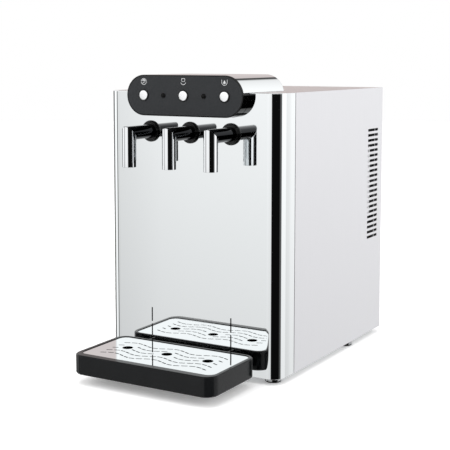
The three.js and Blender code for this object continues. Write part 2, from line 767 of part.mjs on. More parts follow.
function buildFan() {
  const half = fanSize / 2;
  const ringHole = half - 3;
  const frame = cut(
    block(fanCentreX - half, fanCentreX + half, fanFront, fanRear, fanCentreHeight - half,
      fanCentreHeight + half),
    barAlongY(2 * ringHole, fanCentreX, fanCentreHeight, fanFront - 1, fanRear + 1, 32));
  const struts = [0, Math.PI / 2].map((turn) => {
    const geometry = new THREE.BoxGeometry(fanSize - 2, 3, 6);
    geometry.rotateY(turn + Math.PI / 4);
    geometry.translate(fanCentreX, fanRear - 1.5, fanCentreHeight);
    return solidOf(geometry);
  });
  const motor = barAlongY(38, fanCentreX, fanCentreHeight, fanRear - 4, fanRear, coarse);
  const spindle = barAlongY(4, fanCentreX, fanCentreHeight, fanFront + 6, fanRear - 2, tiny);
  addPiece('fan_frame', join(frame, ...struts, motor, spindle), greyPlastic);

  const hub = cut(
    barAlongY(40, fanCentreX, fanCentreHeight, fanFront + 1, fanRear - 5, fine),
    barAlongY(4.6, fanCentreX, fanCentreHeight, fanFront + 5, fanRear, tiny));
  const blades = [];
  for (let blade = 0; blade < fanBladeCount; blade += 1) {
    const geometry = new THREE.BoxGeometry(ringHole - 20, 2, 26);
    geometry.translate((ringHole - 20) / 2 + 17, 0, 0);
    geometry.rotateX(0.55);
    geometry.rotateY(blade * 2 * Math.PI / fanBladeCount);
    geometry.translate(fanCentreX, (fanFront + fanRear) / 2 - 2, fanCentreHeight);
    blades.push(solidOf(geometry));
  }
  addPiece('fan_rotor', join(hub, ...blades), blackPaint);
}

// A pale guide plate just inside the right vents; its upper front edge slopes.
function buildAirBaffle() {
  const rear = bodyDepth - ventFromRear - ventSlotLength + baffleWidth;
  const front = rear - baffleWidth + 2;
  const low = ventFloor + 4.5 * ventPitch;
  const high = ventFloor + 18 * ventPitch;
  const outline = [[front, low], [rear, low], [rear, high], [rear - 4, high], [front,
    high - 7 * ventPitch]];
  const plate = sideways(outline, innerHalfWidth - 5, innerHalfWidth - 3);
  const foot = block(innerHalfWidth - 16, innerHalfWidth - 3, front + 1, rear, low - 2, low + 0.5);
  addPiece('air_baffle', join(plate, foot), greyPlastic);
}

// ---- water circuit ----

// The big pieces share out the free room left beside and behind each other.
const coilRoom = coilRoomShare * tankDiameter;
const insulationHalf = tankDiameter / 2 + coilPipe + 2 * coilRoom + insulationWall;
const freeWidth = 2 * (innerHalfWidth - insulationHalf) - carbonatorDiameter;
const freeDepth = bodyDepth - 2 * insulationHalf - compressorDiameter - 2 * compressorRim;
const tankX = -innerHalfWidth + 0.2135 * freeWidth + insulationHalf;
const tankY = 0.6287 * freeDepth + insulationHalf;
const carbonatorX = innerHalfWidth - 0.265 * freeWidth - carbonatorDiameter / 2;
const carbonatorY = 118;
const pumpY = 222;
const insulationFloor = panFloor + gap;
const tankFloor = insulationFloor + insulationWall + gap;

function buildTank() {
  const plan = roundedRectangle(tankX - insulationHalf, tankX + insulationHalf,
    tankY - insulationHalf, tankY + insulationHalf, 10);
  const outer = standing(plan, insulationFloor, tankFloor + tankHeight + 10, 4);
  const pockets = Object.values(footPlaces).map(([x, y]) => (
    barAlongZ(boltDiameter + 2, x, y, insulationFloor - 1, panFloor + boltRise + 1, tiny)));
  const wellDiameter = tankDiameter + 2 * coilPipe + 4 * coilRoom;
  const well = barAlongZ(wellDiameter, tankX, tankY, tankFloor - gap, tankFloor + tankHeight + 11);
  addPiece('tank_insulation', cut(outer, well, ...pockets), foam);

  const radius = tankDiameter / 2;
  const high = tankFloor + tankHeight;
  const wall = 1.2;
  const vessel = [
    [0, tankFloor], [radius - 6, tankFloor], [radius, tankFloor + 6], [radius, high - 14],
      [radius - 12, high],
    [10, high], [10, high + 14], [8, high + 14], [8, high - wall], [radius - 12.5, high - wall],
    [radius - wall, high - 14], [radius - wall, tankFloor + 6.5], [radius - 6.5, tankFloor + wall], [0,
      tankFloor + wall],
  ];
  addPiece('cold_tank', turned(vessel, tankX, tankY), stainless);

  const coilRadius = radius + coilPipe / 2 + coilRoom;
  const points = [];
  const stations = coilTurns * 8;
  for (let step = 0; step <= stations; step += 1) {
    const angle = step / 8 * 2 * Math.PI;
    const z = tankFloor + 22 + step / stations * (tankHeight - 50);
    points.push([tankX + coilRadius * Math.cos(angle), tankY + coilRadius * Math.sin(angle), z]);
  }
  addPiece('evaporator_coil', pipe(points, coilPipe, coilTurns * 14, 5), copper);
}

function buildCarbonator() {
  const radius = carbonatorDiameter / 2;
  const x = carbonatorX;
  const y = carbonatorY;
  const low = panFloor + gap;
  const high = low + carbonatorHeight;
  const wall = 1.5;
  const profile = [
    [0, low + 10], [radius * 0.5, low + 4], [radius - 3, low], [radius, low], [radius, high - 20],
    [radius * 0.75, high - 6], [radius * 0.35, high], [6, high], [6, high + 12], [4, high + 12], [4,
      high - wall],
    [radius * 0.33, high - wall], [radius * 0.75 - wall, high - 6 - wall], [radius - wall, high - 21],
    [radius - wall, low + 14], [0, low + 12],
  ];
  addPiece('carbonator', turned(profile, x, y), stainless);
}

function buildPump() {
  const x = carbonatorX;
  const y = pumpY;
  const low = panFloor + gap;
  const motor = barAlongZ(pumpDiameter, x, y, low + 6, low + pumpHeight * 0.66, coarse);
  const foot = block(x - pumpDiameter / 2, x + pumpDiameter / 2, y - 26, y + 26, low, low + 8);
  const neck = barAlongZ(pumpDiameter * 0.6, x, y, low + pumpHeight * 0.6, low + pumpHeight * 0.75, coarse);
  const head = barAlongZ(pumpDiameter * 0.72, x, y, low + pumpHeight * 0.74, low + pumpHeight, coarse);
  const ports = block(x - pumpDiameter / 2 - 4, x + pumpDiameter / 2 + 4, y - 6, y + 6,
    low + pumpHeight * 0.82, low + pumpHeight * 0.94);
  addPiece('water_pump', join(motor, foot, neck, head, ports), brass);
}

const valveFront = 62;
const valveHeight = spoutHeight - 26;

// A manifold bar with one solenoid coil and one outlet stub for each spout.
function buildValveBlock() {
  const bar = block(-outletPitch - 22, outletPitch + 22, valveFront, valveFront + 26, valveHeight - 13,
    valveHeight + 13);
  const parts = [];
  for (const x of outlets) {
    parts.push(block(x - 17, x + 17, valveFront - 3, valveFront + 29, valveHeight - 42, valveHeight - 12));
    parts.push(barAlongZ(14, x, valveFront + 13, valveHeight - 50, valveHeight - 40, tiny));
    parts.push(barAlongY(10, x, valveHeight, valveFront - 8, valveFront + 2, tiny));
  }
  const shelf = block(-innerHalfWidth + 1, innerHalfWidth - 1, valveFront + 25, valveFront + 27,
    valveHeight - 46,
    valveHeight + 20);
  addPiece('valve_block', join(bar, ...parts, shelf), greyPlastic);
}

function buildHoses() {
  outlets.forEach((x, index) => {
    const startY = valveFront - 8 - gap;
    const endY = sheet + armTail + gap;
    const middleY = (startY + endY) / 2;
    const middleZ = (valveHeight + spoutHeight) / 2;
    const route = [
      [x, startY, valveHeight], [x, startY - 4, valveHeight], [x, middleY, middleZ],
      [x, endY + 4, spoutHeight], [x, endY, spoutHeight],
    ];
    addPiece(`hose_${names[index]}`, pipe(route, 6, 12, 6), clearHose);
  });
}

function buildPowerSupply() {
  const x = fittingX;
  const y = bodyDepth - 66;
  const box = block(x - 34, x + 34, y - 40, y + 30, 232, 286);
  const terminals = block(x - 28, x + 20, y - 52, y - 38, 236, 252);
  const bracket = block(-innerHalfWidth + 0.5, x - 30, y - 40, y + 30, 231, 233);
  addPiece('power_supply', join(box, terminals, bracket), zincSteel);
}

// ---- rear fittings ----

// One moulded module: the three-pin socket on the left as seen from the front, the rocker's well beside it.
function buildPowerInlet() {
  const [x, z] = inletPlace;
  const [rockerX] = switchPlace;
  const face = bodyDepth + gap;
  const flange = block(x - inletWidth / 2 - 6, rockerX + switchWidth / 2 + 5, face, face + 2.5,
    z - switchHeight / 2 - 4, z + switchHeight / 2 + 4);
  const box = block(x - inletWidth / 2, x + inletWidth / 2, face - inletDepth, face + 1,
    z - inletHeight / 2, z + inletHeight / 2);
  const socket = block(x - inletWidth / 2 + 2, x + inletWidth / 2 - 2, face - inletDepth + 2, face + 4,
    z - inletHeight / 2 + 2, z + inletHeight / 2 - 2);
  const pins = [[-7, 2], [0, 5], [7, 2]].map(([dx, dz]) => block(x + dx - 1, x + dx + 1,
    face - inletDepth + 1,
    face - 2, z + dz - 2.5, z + dz + 1.5));
  const rockerBox = block(rockerX - switchWidth / 2, rockerX + switchWidth / 2, face - 16, face + 1,
    z - switchHeight / 2, z + switchHeight / 2);
  const rockerWell = block(rockerX - switchWidth / 2 + 1.5, rockerX + switchWidth / 2 - 1.5, face - 12,
    face + 3,
    z - switchHeight / 2 + 1.5, z + switchHeight / 2 - 1.5);
  addPiece('power_inlet', join(cut(join(flange, box, rockerBox), socket, rockerWell), ...pins), blackGloss);
}

const rockerAxisY = bodyDepth - 1.2;

// The rocker stands tilted, pressed in at its lower end.
function buildPowerSwitch() {
  const [x, z] = switchPlace;
  const reach = switchHeight / 2 - 2.6;
  const outline = [
    [3.6, -reach], [2.4, 0], [3.6, reach], [-3, reach * 0.7], [-5, 2], [-5, -2], [-3, -reach * 0.7],
  ];
  const half = switchWidth / 2 - 1.5 - gap;
  const tilt = -switchTilt * Math.PI / 180;
  addPiece('power_switch', sideways(outline, x - half, x + half, tilt, rockerAxisY, z), blackGloss);
}

// A threaded bulkhead fitting for the mains water and a barbed nipple for the gas hose.
function buildFluidInlets() {
  const [waterX, waterZ] = waterPlace;
  const crest = waterThreadDiameter / 2;
  const root = crest - 1;
  const bore = waterBoreDiameter / 2;
  const nut = 4;
  const turns = Math.floor((fittingProud - nut - 1) / threadPitch);
  const thread = [[bore, -20], [root, -20], [root, gap], [crest + 4, gap], [crest + 4, nut]];
  for (let turn = 0; turn < turns; turn += 1) {
    thread.push([root, nut + turn * threadPitch]);
    thread.push([crest, nut + (turn + 0.5) * threadPitch]);
  }
  thread.push([root, nut + turns * threadPitch], [root, fittingProud], [bore, fittingProud], [bore, -20]);
  addPiece('water_inlet', turnedAlongY(thread, waterX, bodyDepth, waterZ), brass);

  const [gasX, gasZ] = gasPlace;
  const nipple = gasNippleDiameter / 2;
  const barb = [
    [1.8, -14], [nipple, -14], [nipple, gap], [nipple + 4, gap], [nipple + 4, 4], [nipple - 1, 4],
    [nipple, 6], [nipple - 1, 11], [nipple - 1, fittingProud], [1.8, fittingProud],
    [1.8, -14],
  ];
  addPiece('gas_inlet', turnedAlongY(barb, gasX, bodyDepth, gasZ, coarse), brass);
}

// ---- assembly ----

buildBasePan();
buildFrontPanel();
buildSidePanel('left_side_panel', -1);
buildSidePanel('right_side_panel', 1);
buildTopPanel();
buildRearPanel();
buildFeet();
buildHeadHousing();
buildHood();
buildFacePlate();
buildButtons();
buildIndicators();
buildControlBoard();
buildSpouts();
buildDripTray();
buildTrayGrid();
buildTrayBracket();
buildCompressor();
buildCondenser();
buildFan();
buildAirBaffle();
buildTank();
buildCarbonator();
buildPump();
buildValveBlock();
buildHoses();
buildPowerSupply();
buildPowerInlet();
buildPowerSwitch();
buildFluidInlets();

// The origin goes under the middle of everything, from the tray's front to the rear fittings' ends.
body.position.y = -(trayFront + bodyDepth + fittingProud) / 2;

export default dispenser;
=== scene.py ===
import json
import math

import bmesh
import bpy
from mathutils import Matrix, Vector


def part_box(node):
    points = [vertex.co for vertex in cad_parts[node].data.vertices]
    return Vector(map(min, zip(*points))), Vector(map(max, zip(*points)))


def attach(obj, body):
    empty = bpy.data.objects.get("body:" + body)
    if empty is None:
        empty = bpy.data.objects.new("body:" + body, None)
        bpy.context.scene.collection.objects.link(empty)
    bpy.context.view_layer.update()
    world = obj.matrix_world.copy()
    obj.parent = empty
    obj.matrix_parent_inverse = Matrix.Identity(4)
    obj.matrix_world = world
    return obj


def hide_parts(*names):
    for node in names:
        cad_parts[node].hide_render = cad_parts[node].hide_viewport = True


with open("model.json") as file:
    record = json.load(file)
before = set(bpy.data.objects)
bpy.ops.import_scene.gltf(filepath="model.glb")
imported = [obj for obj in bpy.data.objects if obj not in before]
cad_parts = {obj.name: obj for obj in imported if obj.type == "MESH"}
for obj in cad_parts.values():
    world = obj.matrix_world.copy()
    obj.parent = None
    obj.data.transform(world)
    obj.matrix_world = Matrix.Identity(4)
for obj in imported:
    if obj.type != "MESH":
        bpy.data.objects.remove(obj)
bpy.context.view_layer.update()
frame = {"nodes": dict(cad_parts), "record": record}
nodes = frame["nodes"]
scene = bpy.context.scene
mm = 0.001
print("frame loaded:", len(nodes), "CAD nodes")


# the camera, placed to match the view, then the stage round it
cameraSetup = {
    "place": (0.89456, -1.55476, 0.50196),
    "yaw": 30.674,      # degrees, turned left from straight along +Y
    "pitch": 5.533,     # degrees down
    "lens": 85.42,
    "shift": (0.0139, -0.14),
}


def makeCamera(setup):
    data = bpy.data.cameras.new("camera")
    data.lens = setup["lens"]
    data.sensor_width = 36
    data.shift_x, data.shift_y = setup["shift"]
    data.clip_start, data.clip_end = 0.05, 60
    camera = bpy.data.objects.new("camera", data)
    camera.location = setup["place"]
    camera.rotation_euler = (math.radians(90 - setup["pitch"]), 0, math.radians(setup["yaw"]))
    scene.collection.objects.link(camera)
    scene.camera = camera


makeCamera(cameraSetup)
scene.view_settings.view_transform = "Standard"


def linear(hexColour):
    channels = [int(hexColour[i:i + 2], 16) / 255 for i in (1, 3, 5)]
    return [c / 12.92 if c <= 0.04045 else ((c + 0.055) / 1.055) ** 2.4 for c in channels] + [1]


def addNode(tree, kind, inputs=None, **settings):
    # an input is given a value, a socket, or a node that stands for its first output
    made = tree.nodes.new(kind)
    for key, value in settings.items():
        setattr(made, key, value)
    for key, value in (inputs or {}).items():
        if isinstance(value, bpy.types.Node):
            value = value.outputs[0]
        if isinstance(value, bpy.types.NodeSocket):
            tree.links.new(value, made.inputs[key])
        else:
            made.inputs[key].default_value = value
    return made


def setStops(ramp, stops):
    elements = ramp.color_ramp.elements
    while len(elements) > 1:
        elements.remove(elements[-1])
    for index, (place, value) in enumerate(stops):
        stop = elements[0] if index == 0 else elements.new(place)
        stop.position = place
        stop.color = value if isinstance(value, (list, tuple)) else (value, value, value, 1)


def startMaterial(name, colour, metallic, roughness, **sockets):
    made = bpy.data.materials.new(name)
    made.use_nodes = True
    shader = made.node_tree.nodes["Principled BSDF"]
    shader.inputs["Base Color"].default_value = linear(colour)
    shader.inputs["Metallic"].default_value = metallic
    shader.inputs["Roughness"].default_value = roughness
    for key, value in sockets.items():
        shader.inputs[key.replace("_", " ")].default_value = value
    return made, made.node_tree, shader


# the studio: what polished metal mirrors, and what lights the rest
studio = {
    # brightness round the horizon, by degrees from straight ahead of the front panel
    "horizon": [(-180, 1.0), (-171.5, 1.0), (-169.5, 0.14), (-167.5, 0.14), (-166, (0.47, 0.42, 0.415, 1)),
                (-142, (0.50, 0.455, 0.45, 1)), (-138, 0.10),
                (-97, 0.16), (-92, 1.0), (-64, 1.0), (-61, 0.12), (-53, 0.16), (-50, 0.80), (-40, 0.68),
                (-36.5, 0.72), (-33.5, 0.84), (-22, 0.90), (8, 0.82),
                (11, 0.004), (76, 0.004), (79, 0.07), (92, 0.12), (97, 1.0), (143, 1.0), (144.5, 0.80),
                (146.5, 0.98), (148.2, 0.72), (149.6, 0.94), (180, 1.0)],
    # the same higher up, where level polished faces look; its one thin dark band draws the hood's line
    "highHorizon": [(-180, 0.66), (-176, 0.42), (-174, 0.06), (-167, 0.06), (-166, (0.47, 0.42, 0.415, 1)),
                    (-142, (0.50, 0.455, 0.45, 1)), (-137, 0.72), (-95, 0.72), (-90, 0.95), (8, 0.82),
                    (14, 0.58), (76, 0.58), (84, 0.95), (100, 1.0), (143, 1.0), (150, 0.84),
                    (166, 0.74), (180, 0.66)],
    # brightness by height of the direction, from straight down to straight up; the dark gap overhead
    # draws the line along the front sheet's top bend
    "upper": [(0.0, 0.75), (0.7, 0.95), (0.88, 1.0), (0.895, 0.06), (0.95, 0.06), (0.965, 0.95), (1.0, 0.95)],
    # how much brighter the walls get from low down to well above the horizon
    "rise": {"From Min": -0.30, "From Max": 0.16, "To Min": 0.80, "To Max": 1.22},
    # the heights at which the higher ring, then the overhead part, take over
    "climb": {"From Min": 0.01, "From Max": 0.07},
    "lift": {"From Min": 0.60, "From Max": 0.66},
    "strength": 1.2,
}


def makeWorld(setup):
    world = bpy.data.worlds.new("studio")
    scene.world = world
    world.use_nodes = True
    tree = world.node_tree
    tree.nodes.clear()
    direction = addNode(tree, "ShaderNodeTexCoord").outputs["Generated"]
    parts = addNode(tree, "ShaderNodeSeparateXYZ", {0: direction})
    ahead = addNode(tree, "ShaderNodeMath", {0: parts.outputs["Y"], 1: -1.0}, operation="MULTIPLY")
    turn = addNode(tree, "ShaderNodeMath", {0: parts.outputs["X"], 1: ahead}, operation="ARCTAN2")
    share = addNode(tree, "ShaderNodeMath", {0: turn, 1: 0.5 / math.pi, 2: 0.5}, operation="MULTIPLY_ADD")
    rings = []
    for stops in (setup["horizon"], setup["highHorizon"]):
        ring = addNode(tree, "ShaderNodeValToRGB", {0: share})
        setStops(ring, [(degrees / 360 + 0.5, value) for degrees, value in stops])
        rings.append(ring)
    climb = addNode(tree, "ShaderNodeMapRange", {"Value": parts.outputs["Z"], **setup["climb"]})
    levels = addNode(tree, "ShaderNodeMix", {"Factor": climb, 6: rings[0], 7: rings[1]}, data_type="RGBA")
    rise = addNode(tree, "ShaderNodeMapRange", {"Value": parts.outputs["Z"], **setup["rise"]})
    walls = addNode(tree, "ShaderNodeVectorMath", {0: levels.outputs[2], "Scale": rise}, operation="SCALE")
    height = addNode(tree, "ShaderNodeMath", {0: parts.outputs["Z"], 1: 0.5, 2: 0.5},
                     operation="MULTIPLY_ADD")
    upper = addNode(tree, "ShaderNodeValToRGB", {0: height})
    setStops(upper, setup["upper"])
    lift = addNode(tree, "ShaderNodeMapRange", {"Value": parts.outputs["Z"], **setup["lift"]})
    mixed = addNode(tree, "ShaderNodeMix", {"Factor": lift, 6: walls, 7: upper}, data_type="RGBA")
    light = addNode(tree, "ShaderNodeBackground", {"Color": mixed.outputs[2], "Strength": setup["strength"]})
    addNode(tree, "ShaderNodeOutputWorld", {"Surface": light})


softboxes = [
    {"name": "overhead", "place": (0.1, -0.4, 2.2), "aim": (0, 0, 0.1), "size": 2.4, "power": 26},
    {"name": "frontLeft", "place": (-1.7, -1.9, 1.5), "aim": (0, 0, 0.2), "size": 1.6, "power": 20},
    {"name": "right", "place": (2.2, -0.2, 1.2), "aim": (0, 0, 0.2), "size": 1.4, "power": 9},
]


def makeSoftboxes(boxes):
    for box in boxes:
        data = bpy.data.lights.new(box["name"], "AREA")
        data.size = box["size"]
        data.energy = box["power"]
        lamp = bpy.data.objects.new(box["name"], data)
        lamp.location = box["place"]
        toward = Vector(box["aim"]) - Vector(box["place"])
        lamp.rotation_euler = toward.to_track_quat("-Z", "Y").to_euler()
        lamp.visible_glossy = False
        scene.collection.objects.link(lamp)


def makeFloor():
    bpy.ops.mesh.primitive_plane_add(size=14, location=(0, 0, -0.0005))
    floor = bpy.context.object
    floor.name = "floor"
    made = startMaterial("pale studio floor", "#fdfdfd", 0.0, 0.9, Specular_IOR_Level=0.1,
                         Emission_Color=(1, 1, 1, 1), Emission_Strength=0.22)[0]
    floor.data.materials.append(made)
    floor.visible_glossy = False    # polished steel mirrors the studio, not the floor sheet


def makeBackdrop():
    # a white tent round the set, seen by the camera only
    bpy.ops.mesh.primitive_uv_sphere_add(segments=64, ring_count=32, radius=6.9)
    tent = bpy.context.object
    tent.name = "backdrop"
    made = startMaterial("white studio tent", "#000000", 0.0, 0.5, Specular_IOR_Level=0,
                         Emission_Color=(1, 1, 1, 1), Emission_Strength=1)[0]
    tent.data.materials.append(made)
    tent.visible_diffuse = tent.visible_glossy = tent.visible_transmission = tent.visible_shadow = False


makeWorld(studio)
makeSoftboxes(softboxes)
makeFloor()
makeBackdrop()
print("studio ready")


def objectPlace(tree, scale=(1, 1, 1)):
    place = addNode(tree, "ShaderNodeTexCoord").outputs["Object"]
    return addNode(tree, "ShaderNodeMapping", {"Vector": place, "Scale": scale}).outputs[0]


def varyRoughness(tree, shader, size, low, high, scale=(1, 1, 1), detail=3):
    # size is the pattern's own size in millimetres
    noise = addNode(tree, "ShaderNodeTexNoise", {"Vector": objectPlace(tree, scale), "Scale": 1000 / size,
                                                 "Detail": detail})
    spread = addNode(tree, "ShaderNodeMapRange", {"Value": noise.outputs["Fac"], "From Min": 0.3,
                                                  "From Max": 0.7, "To Min": low, "To Max": high})
    tree.links.new(spread.outputs[0], shader.inputs["Roughness"])
    return noise


def varyColour(tree, shader, size, first, second):
    noise = addNode(tree, "ShaderNodeTexNoise", {"Vector": objectPlace(tree), "Scale": 1000 / size,
                                                 "Detail": 4.0})
    ramp = addNode(tree, "ShaderNodeValToRGB", {0: noise.outputs["Fac"]})
    setStops(ramp, [(0.3, linear(first)), (0.7, linear(second))])
    tree.links.new(ramp.outputs[0], shader.inputs["Base Color"])


def plainFinish(base, tone=None, gloss=None, relief=None, specular=0.5):
    made, tree, shader = startMaterial(*base, Specular_IOR_Level=specular)
    if tone:
        varyColour(tree, shader, *tone)
    if gloss:
        grain = varyRoughness(tree, shader, *gloss)
    if relief:
        bump = addNode(tree, "ShaderNodeBump", {"Height": grain.outputs["Fac"], "Distance": relief[0] * mm,
                                                "Strength": relief[1]})
        tree.links.new(bump.outputs[0], shader.inputs["Normal"])
    return made


def faceAbs():
    # ABS with a fine spark-eroded grain, 0.4 mm pitch: an even dark grey with no glare
    made, tree, shader = startMaterial("fine-grained dark ABS", "#2a2b2d", 0.0, 0.55, Specular_IOR_Level=0.15)
    varyColour(tree, shader, 3.0, "#282a2c", "#2c2d2f")
    grain = addNode(tree, "ShaderNodeTexNoise", {"Vector": objectPlace(tree), "Scale": 1000 / 0.4})
    bump = addNode(tree, "ShaderNodeBump", {"Height": grain.outputs["Fac"], "Distance": 0.02 * mm,
                                            "Strength": 0.25})
    tree.links.new(bump.outputs[0], shader.inputs["Normal"])
    return made


def zincSheet():
    # galvanised steel sheet: pale grey with soft spangle about 12 mm across
    made, tree, shader = startMaterial("galvanised steel sheet", "#b9bdc0", 0.85, 0.45)
    spangle = addNode(tree, "ShaderNodeTexVoronoi", {"Vector": objectPlace(tree), "Scale": 1000 / 12})
    ramp = addNode(tree, "ShaderNodeValToRGB", {0: spangle.outputs["Color"]})
    setStops(ramp, [(0.0, linear("#b0b4b7")), (1.0, linear("#c4c8ca"))])
    tree.links.new(ramp.outputs[0], shader.inputs["Base Color"])
    return made


def beadFoam():
    # expanded polystyrene: matt off-white, dimpled by beads about 4 mm across
    made, tree, shader = startMaterial("expanded bead foam", "#ebe9e4", 0.0, 0.95)
    beads = addNode(tree, "ShaderNodeTexVoronoi", {"Vector": objectPlace(tree), "Scale": 1000 / 4})
    bump = addNode(tree, "ShaderNodeBump", {"Height": beads.outputs["Distance"], "Distance": 0.4 * mm,
                                            "Strength": 0.6})
    tree.links.new(bump.outputs[0], shader.inputs["Normal"])
    return made


def circuitBoard():
    # glass-epoxy laminate under green resist: paler tracks drawn 1.5 mm apart
    made, tree, shader = startMaterial("green solder resist", "#1f5a36", 0.0, 0.4)
    tracks = addNode(tree, "ShaderNodeTexWave", {"Vector": objectPlace(tree), "Scale": 1000 / 1.5 / 20,
                                                 "Distortion": 6.0})
    ramp = addNode(tree, "ShaderNodeValToRGB", {0: tracks.outputs["Fac"]})
    setStops(ramp, [(0.4, linear("#1b5231")), (0.6, linear("#2a6b43"))])
    tree.links.new(ramp.outputs[0], shader.inputs["Base Color"])
    return made


# each base is a name, colour, metal share and roughness; tone is a pattern's size in millimetres and its
# two colours; gloss is a size, the smoothest and roughest, and any stretch; relief is the depth in
# millimetres and the strength of the bump the gloss pattern also makes
surfaces = {
    # 304 stainless sheet, mirror polished: near-white metal with faint hand-wiped haze
    "mirror_steel": {"base": ("mirror-polished stainless", "#e9eced", 1.0, 0.03),
                     "gloss": (60, 0.012, 0.045)},
    # 304 stainless sheet with a fine vertical grain from belt grinding; grain drawn 0.6 mm wide so it shows
    "satin_steel": {"base": ("satin-ground stainless", "#dcdcdf", 1.0, 0.36),
                    "gloss": (0.6, 0.30, 0.42, (1, 1, 0.01)), "relief": (0.02, 0.12)},
    # the same sheet on the lid, its grain running front to back, a touch warmer: painted warm reflection
    "satin_lid_warm_reflection": {"base": ("satin-ground stainless lid", "#dcd6d5", 1.0, 0.34),
                  "gloss": (0.6, 0.28, 0.42, (1, 0.01, 1)), "relief": (0.02, 0.12)},
    # bright chrome over polished brass: the cleanest mirror on the object
    "chrome": {"base": ("bright chrome plate", "#eef0f2", 1.0, 0.02), "gloss": (25, 0.01, 0.03)},
    # the push caps: chrome over a fine blasted surface, so they read as soft white discs
    "satin_chrome": {"base": ("satin chrome plate", "#f6f7f8", 1.0, 0.24), "gloss": (4, 0.20, 0.28)},
    # the arms' dark chrome: a near-black mirror that still shows thin streaks of light
    "black_chrome": {"base": ("dark chrome plate", "#222326", 1.0, 0.04), "gloss": (20, 0.02, 0.05)},
    # bright nickel on the feet: a greyer mirror than chrome, so they stand out from a white worktop
    "bright_nickel": {"base": ("bright nickel plate", "#a4a6a8", 1.0, 0.06), "gloss": (15, 0.04, 0.09)},
    # ABS moulded in a polished tool: deep black under a wet-looking skin
    "black_gloss": {"base": ("gloss black ABS", "#020202", 0.0, 0.03), "gloss": (30, 0.02, 0.04),
                    "specular": 0.3},
    # smoked acrylic over the signal lamps: almost no colour, one small hard glint
    "lens": {"base": ("smoked acrylic", "#030303", 0.0, 0.04), "gloss": (5, 0.03, 0.05), "specular": 0.12},
    # ABS with a low sheen, moulded: near black, slightly blue where it catches light
    "tray_plastic": {"base": ("moulded tray ABS", "#121314", 0.0, 0.12), "tone": (40, "#111213", "#141516"),
                     "gloss": (30, 0.08, 0.15), "specular": 0.16},
    # moulded nitrile: a dull dark grey that swallows light under the bright feet
    "rubber": {"base": ("matt nitrile rubber", "#181818", 0.0, 0.85), "tone": (2.0, "#151515", "#1f1f1f")},
    # deep-drawn stainless: soft streaks of light along the draw, duller than the casing
    "stainless": {"base": ("drawn stainless", "#c6cacc", 1.0, 0.28),
                  "gloss": (1.2, 0.22, 0.34, (1, 1, 0.05))},
    # sprayed and baked black: a low sheen broken by orange peel about 1.5 mm across
    "black_paint": {"base": ("black stove enamel", "#151516", 0.0, 0.35), "gloss": (1.5, 0.3, 0.45),
                    "relief": (0.05, 0.2)},
    # refrigeration copper: warm metal, patchily dulled by handling
    "copper": {"base": ("drawn copper", "#b8704a", 1.0, 0.3), "tone": (14, "#a9633f", "#c47c54")},
    # unpainted moulded ABS: an even pale grey, slightly uneven in tone
    "grey_plastic": {"base": ("pale grey ABS", "#d9dadb", 0.0, 0.5), "tone": (20, "#d5d6d7", "#dddedf")},
    # glass-filled nylon: a dull black broken up by a light moulded texture
    "black_plastic": {"base": ("black nylon", "#161617", 0.0, 0.48), "gloss": (0.7, 0.4, 0.56),
                      "relief": (0.02, 0.3)},
    # brass off the lathe: yellow metal with fine rings that spread the highlight
    "brass": {"base": ("turned brass", "#c9a255", 1.0, 0.25), "gloss": (0.5, 0.18, 0.34, (1, 0.05, 1))},
    # drinking-water tube: clear mid blue with a waxy sheen
    "hose": {"base": ("blue polyethylene hose", "#2f6fae", 0.0, 0.4), "tone": (10, "#2b69a6", "#3474b4")},
    # pad-printed pale grey ink, slightly uneven
    "ink": {"base": ("pale pad-print ink", "#b9babb", 0.0, 0.6), "tone": (1.5, "#a9aaab", "#c8c9ca")},
}
finishes = {slot: plainFinish(**setup) for slot, setup in surfaces.items()}
finishes.update(face_plastic=faceAbs(), zinc_steel=zincSheet(), foam=beadFoam(), circuit_board=circuitBoard())
for part in frame["record"]["subparts"]:
    shell = nodes[part["node"]].data
    shell.materials.clear()
    shell.materials.append(finishes[part["material_slot"]])
print("materials:", len(finishes))


def cleanMesh(bm):
    bmesh.ops.remove_doubles(bm, verts=bm.verts, dist=1e-6)
    bmesh.ops.recalc_face_normals(bm, faces=bm.faces)


def newObject(name, bm):
    cleanMesh(bm)
    mesh = bpy.data.meshes.new(name)
    bm.to_mesh(mesh)
    bm.free()
    made = bpy.data.objects.new(name, mesh)
    scene.collection.objects.link(made)
    return made


def bake(piece):
    # swaps the live modifiers for the plain mesh they give
    bpy.context.view_layer.update()
    graph = bpy.context.evaluated_depsgraph_get()
    mesh = bpy.data.meshes.new_from_object(piece.evaluated_get(graph), preserve_all_data_layers=True,
                                           depsgraph=graph)
    piece.modifiers.clear()
    before = piece.data
    piece.data = mesh
    bpy.data.meshes.remove(before)
    mesh.name = piece.name


def shade(piece, sharpDegrees):
    # smooth across gentle bends, crisp across sharp ones; large flats keep their own normal
    bm = bmesh.new()
    bm.from_mesh(piece.data)
    cleanMesh(bm)
    for face in bm.faces:
        face.smooth = True
    for edge in bm.edges:
        edge.smooth = edge.is_manifold and edge.calc_face_angle(0) < math.radians(sharpDegrees)
    bm.to_mesh(piece.data)
    bm.free()
    normals = piece.modifiers.new("normals", "WEIGHTED_NORMAL")
    normals.keep_sharp = True
    normals.weight = 60
    bake(piece)


def settle(piece, slot, body, replaced=(), sharpDegrees=32, finish=None):
    shade(piece, sharpDegrees)
    piece.data.materials.clear()
    piece.data.materials.append(finishes[finish or slot])
    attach(piece, body)
    if replaced:
        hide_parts(*replaced)
    return piece


def newPiece(name, bm, slot, body, replaced=(), **more):
    return settle(newObject(name, bm), slot, body, replaced, **more)


def cutAway(piece, cutters):
    # every cutter is a closed mesh in one bmesh
    tool = newObject("cutter", cutters)
    cut = piece.modifiers.new("cut", "BOOLEAN")
    cut.operation = "DIFFERENCE"
    cut.solver = "EXACT"
    cut.object = tool
    bake(piece)
    bpy.data.objects.remove(tool)


